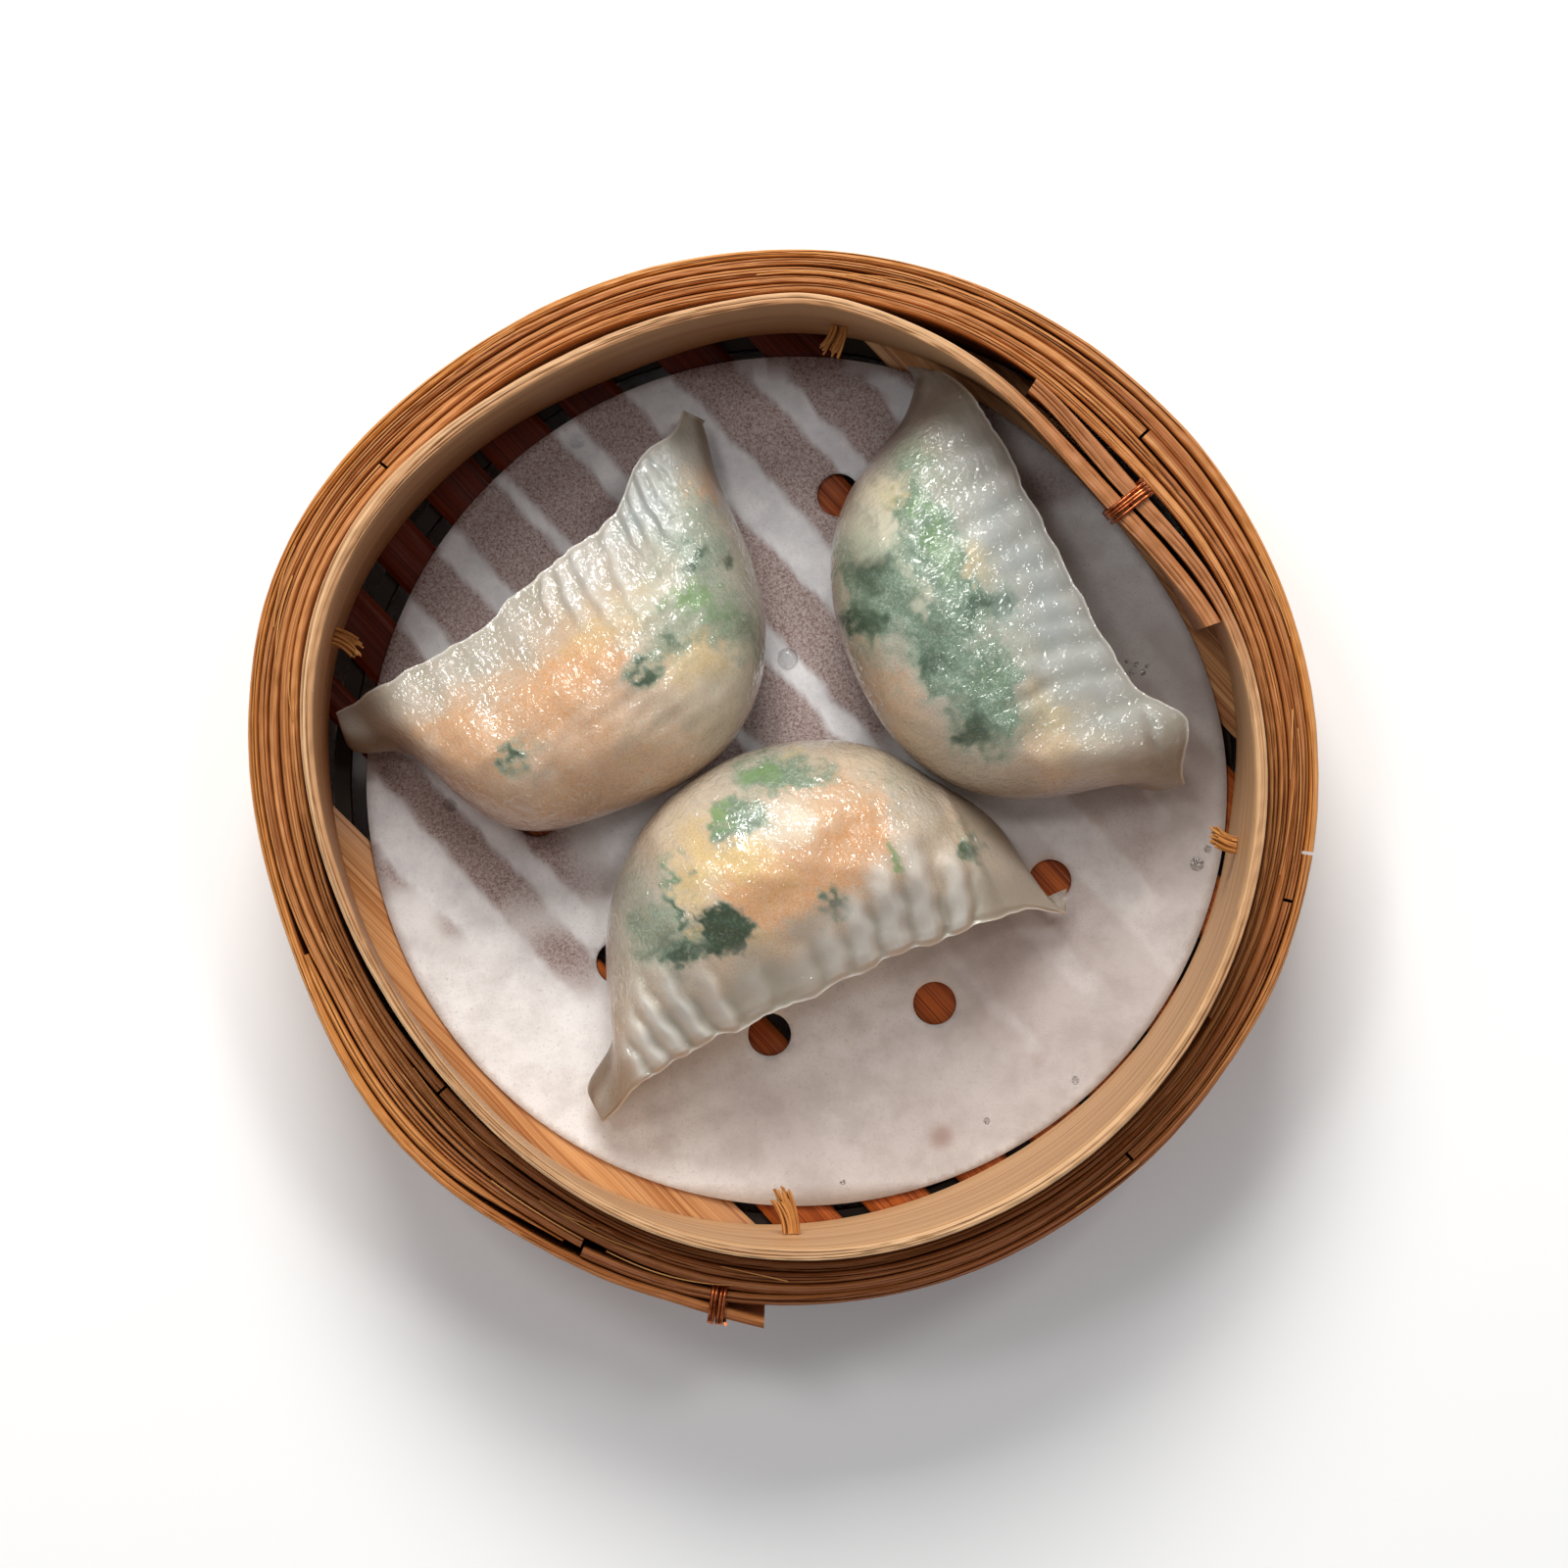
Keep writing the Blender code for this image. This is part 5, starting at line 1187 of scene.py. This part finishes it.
for number, shape in enumerate(DUMPLINGS):
    seed = 600 + 50 * number
    grid, across, fold, fullness, slim = dumpling_grid(shape, seed)
    x, y = grid[..., 0] / MM, grid[..., 1] / MM
    masks = {kind: patch_mask(x, y, shape["patches"][kind], seed + 10) for kind in KINDS}
    from_seam = y - y[:, :1]
    thick = 1 - ramp(from_seam + 1.5 * unevenness(x, y, 6.0, seed + 20), *shape["veil"])
    masks["veil"] = np.maximum(thick, 1 - ramp(fullness, *VEILED_TIPS))
    masks["cool"] = np.clip(shape["cool"] + masks.pop("haze"), 0, 1)
    masks["fold"] = np.clip(fold / FULL_FOLD, 0, 1) * ramp(fullness, *FOLDED_ROWS)
    # Thin: tips greyed partly as see-through dough and partly as painted shade.
    tips = 1 - ramp(fullness + 0.05 * unevenness(x, y, 9.0, seed + 21), *THIN_TIPS)
    masks["thin"] = np.clip(shape["sheer_and_shade"] * tips + 0.5 * (1 - ramp(slim, *THIN_FLAPS)), 0, 1)
    # Painted light: the seam's very edge is painted pale, as light through the thin fin.
    masks["rim"] = np.clip(1 - from_seam / RIM_WIDTH, 0, 1)
    masks["low"] = ramp(across, *SHADED_SHARES) * (1 - ramp(grid[..., 2], *SHADED_LEVELS))
    round_section = lengths(np.concatenate([grid[ROWS // 2], grid[ROWS // 2, :1]]))
    placed_grid = turned(grid, shape["turn"]) + (*shape["middle"], 0.0)
    dumpling = build(f"prawn_dumpling_{number + 1}", placed_grid, lengths(grid[:, TOP_COUNT // 2]),
                     round_section, skin, masks)
    settle(dumpling, "dumpling_skin", shape["name"])
    print(dumpling.name, "top (mm):", round(float(grid[..., 2].max()) * 1000, 1))

# %% [markdown]
# Copper wire binds the free ends of the hoop and of the winding, and the frayed ends of
# the bamboo lashing poke through the hoop. All of these are thin round strands. A curve
# with a bevel would make each one, but then every strand is an object of its own, so one
# helper sweeps a ring of points along many paths at once and puts them in one mesh.

# %% Helper: round strands
STRAND_MAP_SHIFT = np.array([0.013, 0.007])


def strands(name, paths, radii, sides, guide, angle, material):
    """Closed round strands; paths is (strands, points, 3), radii is (strands, points).

    A ring is path + radius * (cos a * u + sin a * v), with u at right angles to the run
    and to the guide, and v at right angles to both. All of it is turned about +Z.
    """
    count, points, _ = paths.shape
    run = np.gradient(paths, axis=1)
    run = run / np.linalg.norm(run, axis=2, keepdims=True)
    first = np.cross(run, guide)
    first = first / np.linalg.norm(first, axis=2, keepdims=True)
    second = np.cross(run, first)
    around = np.linspace(0, math.tau, sides, endpoint=False)[:, None]
    ring = np.cos(around) * first[:, :, None, :] + np.sin(around) * second[:, :, None, :]
    places = turned(paths[:, :, None, :] + radii[:, :, None, None] * ring, angle).reshape(-1, 3)
    quads, map_rows, map_points, caps = outward_faces(places[: points * sides], points, sides)
    number = np.arange(count)[:, None, None]
    faces = (quads + number * points * sides).reshape(-1, 4).tolist()
    faces += (caps + number * points * sides).reshape(-1, sides).tolist()
    step = float(np.linalg.norm(np.diff(paths, axis=1), axis=2).mean())
    chart = np.stack([map_rows * step, map_points * float(radii.mean())], axis=-1).reshape(-1, 2)
    chart = (chart + number * STRAND_MAP_SHIFT).reshape(-1, 2)
    chart = np.concatenate([chart, np.zeros((count * caps.size, 2))])
    return make_piece(name, places, faces, material, {}, chart, sharp=60)


print("strand helper ready")

# %% [markdown]
# The wire is soft copper, brown with age and brighter where it was bent. Metal needs
# little more than its colour and a roughness that changes from place to place.

# %% Copper finish
copper, shader = finish("copper_wire")
tarnish = noise(in_place(), 900.0, 3.0, 0.6)
fill(shader, {"Base Color": blend(fade(tarnish, 0.3, 0.7), tone(196, 112, 70), tone(112, 52, 28)),
              "Roughness": fade(tarnish, 0.3, 0.7, 0.25, 0.45), "Metallic": 1.0})
print("copper finish:", len(copper.node_tree.nodes), "nodes")

# %% [markdown]
# Each binding goes over the rim, down, back through a slot in the wall and up again, four
# times side by side. Its path is a squared-off ellipse in the plane across the wall, and
# it moves on sideways as it goes round.

# %% The two wire bindings
WIRE_TURNS = 4
WIRE_POINTS = 48
WIRE_START = 0.6
WIRE_PITCH = 0.00058
WIRE_RADIUS = 0.00027
WIRE_DROP = 0.0062
WIRE_CLEAR = 0.0006
HOOP_WIRE_ANGLE = 39
WRAP_WIRE_ANGLE = 263
WIRE_REACH = 1.5


def squared(wave):
    """A wave bulged towards its ends: |w| ** 0.4 with the sign of w."""
    return np.sign(wave) * np.abs(wave) ** 0.4


def binding(name, node, angle, inner, outer, top, seed):
    """Four turns of wire: x = a |cos|^0.4, z = b |sin|^0.4, each with the sign of its own angle."""
    step = np.linspace(0, WIRE_TURNS, WIRE_TURNS * WIRE_POINTS + 1)
    phase = math.tau * step + WIRE_START
    across = ((outer - inner) / 2 + WIRE_CLEAR) * squared(np.cos(phase))
    up = (WIRE_DROP + WIRE_CLEAR) / 2 * (1 + squared(np.sin(phase)))
    side = WIRE_PITCH * (step - WIRE_TURNS / 2) + 0.00010 * unevenness(step, 0, 0.9, seed)
    path = np.stack([(inner + outer) / 2 + across, side, top - WIRE_DROP + up], axis=-1)
    wire = strands(name, path[None], np.full((1, len(step)), WIRE_RADIUS), 10, (0.0, 1.0, 0.0), angle, copper)
    return settle(wire, "copper_wire", node)


lap_angle = HOOP_WIRE_ANGLE + 360
levels = np.array([HOOP_TOP, HOOP_TOP - WIRE_DROP])
hoop_near = hoop_inner(HOOP_WIRE_ANGLE, levels).min()
hoop_far = hoop_inner(lap_angle, levels).max() + hoop_wall(lap_angle)
binding("hoop_binding", "wire_1", HOOP_WIRE_ANGLE, hoop_near, hoop_far, HOOP_TOP, 801)

outer_turn = WRAP_WIRE_ANGLE + 1440
shares = np.array([(WRAP_HEIGHT - WIRE_DROP) / WRAP_HEIGHT, 1])
outer_layers = layers_within(outer_turn) + WRAP_FILL + patch_room(outer_turn)
wrap_near = wall_face(outer_turn, layers_within(outer_turn) - 1, shares).min()
wrap_far = wall_face(outer_turn, outer_layers, shares).max() + flare(outer_turn + WIRE_REACH)
binding("wrap_binding", "wire_2", WRAP_WIRE_ANGLE, wrap_near, wrap_far, WRAP_HEIGHT, 805)
print("width of the wrap binding (mm):", round((wrap_far - wrap_near) * 1000, 1))

# %% [markdown]
# The lashing is split bamboo skin. Where it was cut, its end has torn into fibres of
# uneven length that lean apart. Each end is a bundle of tapered strands with a little
# chance in their start, length and lean.

# %% The four lash ends
LASH_HEIGHT = 0.030
LASH_INSET = 0.0002
LASH_RISE = 0.0012
LASH_RADIUS = 0.00026
LASH_STRANDS = 26
# Each end is its angle, its length and how far it leans sideways.
LASH_ENDS = ((83, 0.0046, 0.0009), (162, 0.0047, 0.0009), (271, 0.0074, -0.0014), (352, 0.0042, 0.0009))

share = np.linspace(0, 1, 10)
for number, (angle, length, lean) in enumerate(LASH_ENDS, 1):
    chance = np.random.default_rng(819 + number)
    start_y = chance.uniform(-0.0011, 0.0011, (LASH_STRANDS, 1))
    start_z = chance.uniform(-0.0006, 0.0006, (LASH_STRANDS, 1))
    reach = length * chance.uniform(0.62, 1.02, (LASH_STRANDS, 1))
    spread = lean + chance.uniform(-0.0003, 0.0003, (LASH_STRANDS, 1))
    along = hoop_inner(angle, LASH_HEIGHT) - LASH_INSET - reach * share
    sideways = spread * share**2 + start_y * (1 + 0.3 * share**2)
    upward = LASH_HEIGHT + LASH_RISE * share + start_z * (1 + 0.5 * share)
    radii = LASH_RADIUS * (1 - 0.45 * share**2) * np.ones((LASH_STRANDS, 1))
    paths = np.stack([along, sideways, upward], axis=-1)
    tuft = strands(f"lash_end_{number}", paths, radii, 6, (0.0, 0.0, 1.0), angle, lash_bamboo)
    settle(tuft, "lash_bamboo", f"lash_{number}")
print("strands in each lash end:", LASH_STRANDS)

# %% [markdown]
# Splitting bamboo leaves loose fibres. A few lie on top of the winding, thin as hair.
# They are strands too, each a shallow arch that follows the wall and drifts across it.

# %% Stray fibres on the winding
STRAYS = 22
STRAY_RADIUS = 0.00010
STRAY_LIFT = 0.0002

chance = np.random.default_rng(840)
share = np.linspace(0, 1, 14)
turns = chance.uniform(500, 1600, (STRAYS, 1)) + chance.uniform(5, 15, (STRAYS, 1)) * share
drift = chance.uniform(-0.0012, 0.0012, (STRAYS, 1)) * share**2
arch = chance.uniform(0.0003, 0.0014, (STRAYS, 1)) * np.sin(math.pi * share)
paths = polar(turns, wall_face(turns, layers_within(turns), 1.0) + drift, WRAP_HEIGHT + STRAY_LIFT + arch)
radii = np.full(arch.shape, STRAY_RADIUS)
settle(strands("stray_fibres", paths, radii, 5, (0.0, 0.0, 1.0), 0.0, lash_bamboo), "lash_bamboo")
print("stray fibres:", STRAYS)

# %% [markdown]
# Steam leaves drops and bubbles on the paper. Each is a low dome of clear water, swept as
# a short upright strand whose radius follows a circle: r = R sqrt(1 - t^2).

# %% Drops on the paper
DROP_SINK = 0.0001
DROP_RISE = 0.45
DROPS = np.array([[0.0007, 0.0181, 0.0015], [0.0609, -0.0122, 0.0011], [0.0625, -0.0100, 0.0006],
                  [0.0512, 0.0160, 0.0005], [0.0520, 0.0172, 0.0004], [0.0529, 0.0160, 0.0005],
                  [0.0505, 0.0176, 0.0003], [0.0535, 0.0170, 0.0004], [-0.0490, -0.0036, 0.0010],
                  [-0.0303, 0.0500, 0.0011], [-0.0050, 0.0523, 0.0007], [0.0300, -0.0500, 0.0006],
                  [0.0088, -0.0590, 0.0005], [0.0430, -0.0440, 0.0006]])

water, shader = finish("water")
fill(shader, {"Base Color": (1.0, 1.0, 1.0, 1.0), "Roughness": 0.0, "IOR": 1.33, "Transmission Weight": 1.0})
rise = np.sin(np.linspace(0, math.pi / 2, 10))
x, y, size = DROPS.T[:, :, None]
level = LINER_FOOT + LINER_THICKNESS - DROP_SINK + DROP_RISE * size * rise
paths = np.stack(np.broadcast_arrays(x, y, level), axis=-1)
radii = size * np.sqrt(np.clip(1 - rise**2, 0.0004, 1))
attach(strands("water_drops", paths, radii, 20, (1.0, 0.0, 0.0), 0.0, water), "root")
print("drops:", len(DROPS))

# %% [markdown]
# The basket stands on a plain pale floor, in soft daylight from a window beyond its top
# edge. Two small panes higher up make the sharp glints on the wet skin. The camera looks
# straight down.

# %% Floor, light and camera
floor_material, shader = finish("floor")
fill(shader, {"Base Color": tone(252, 252, 252), "Roughness": 0.9})
bpy.ops.mesh.primitive_plane_add(size=6.0, location=(0, 0, -0.0002))
floor = bpy.context.object
floor.name = "floor"
floor.data.materials.append(floor_material)


def softbox(name, azimuth, elevation, distance, size, power, colour):
    """An area light on a sphere round the basket, turned towards it."""
    light = bpy.data.lights.new(name, "AREA")
    light.size = size
    light.energy = power
    light.color = colour
    lamp = bpy.data.objects.new(name, light)
    tilt = math.radians(elevation)
    lamp.location = polar(azimuth, distance * math.cos(tilt), distance * math.sin(tilt))
    lamp.rotation_euler = (math.pi / 2 - tilt, 0, math.radians(azimuth) + math.pi / 2)
    bpy.context.scene.collection.objects.link(lamp)


softbox("window", 97.0, 46.0, 1.2, 0.50, 13.2, (1.0, 0.985, 0.955))
softbox("pane_right", 46.0, 67.0, 1.2, 0.17, 1.6, (1.0, 0.99, 0.97))
softbox("pane_left", 136.0, 67.0, 1.2, 0.17, 1.6, (1.0, 0.99, 0.97))
softbox("room", 200.0, 60.0, 1.5, 1.2, 2.0, (0.96, 0.98, 1.0))
world = bpy.data.worlds.new("daylight")
world.use_nodes = True
fill(world.node_tree.nodes["Background"], {"Color": (0.92, 0.95, 1.0, 1.0), "Strength": 0.25})
bpy.context.scene.world = world
bpy.context.scene.view_settings.view_transform = "Standard"

CAMERA_PLACE = (-0.00007, 0.00049, 0.734)
LENS = 112.1
camera = bpy.data.objects.new("camera", bpy.data.cameras.new("camera"))
camera.data.lens = LENS
camera.data.sensor_width = 36.0
camera.data.clip_start = 0.01
camera.location = CAMERA_PLACE
bpy.context.scene.collection.objects.link(camera)
bpy.context.scene.camera = camera
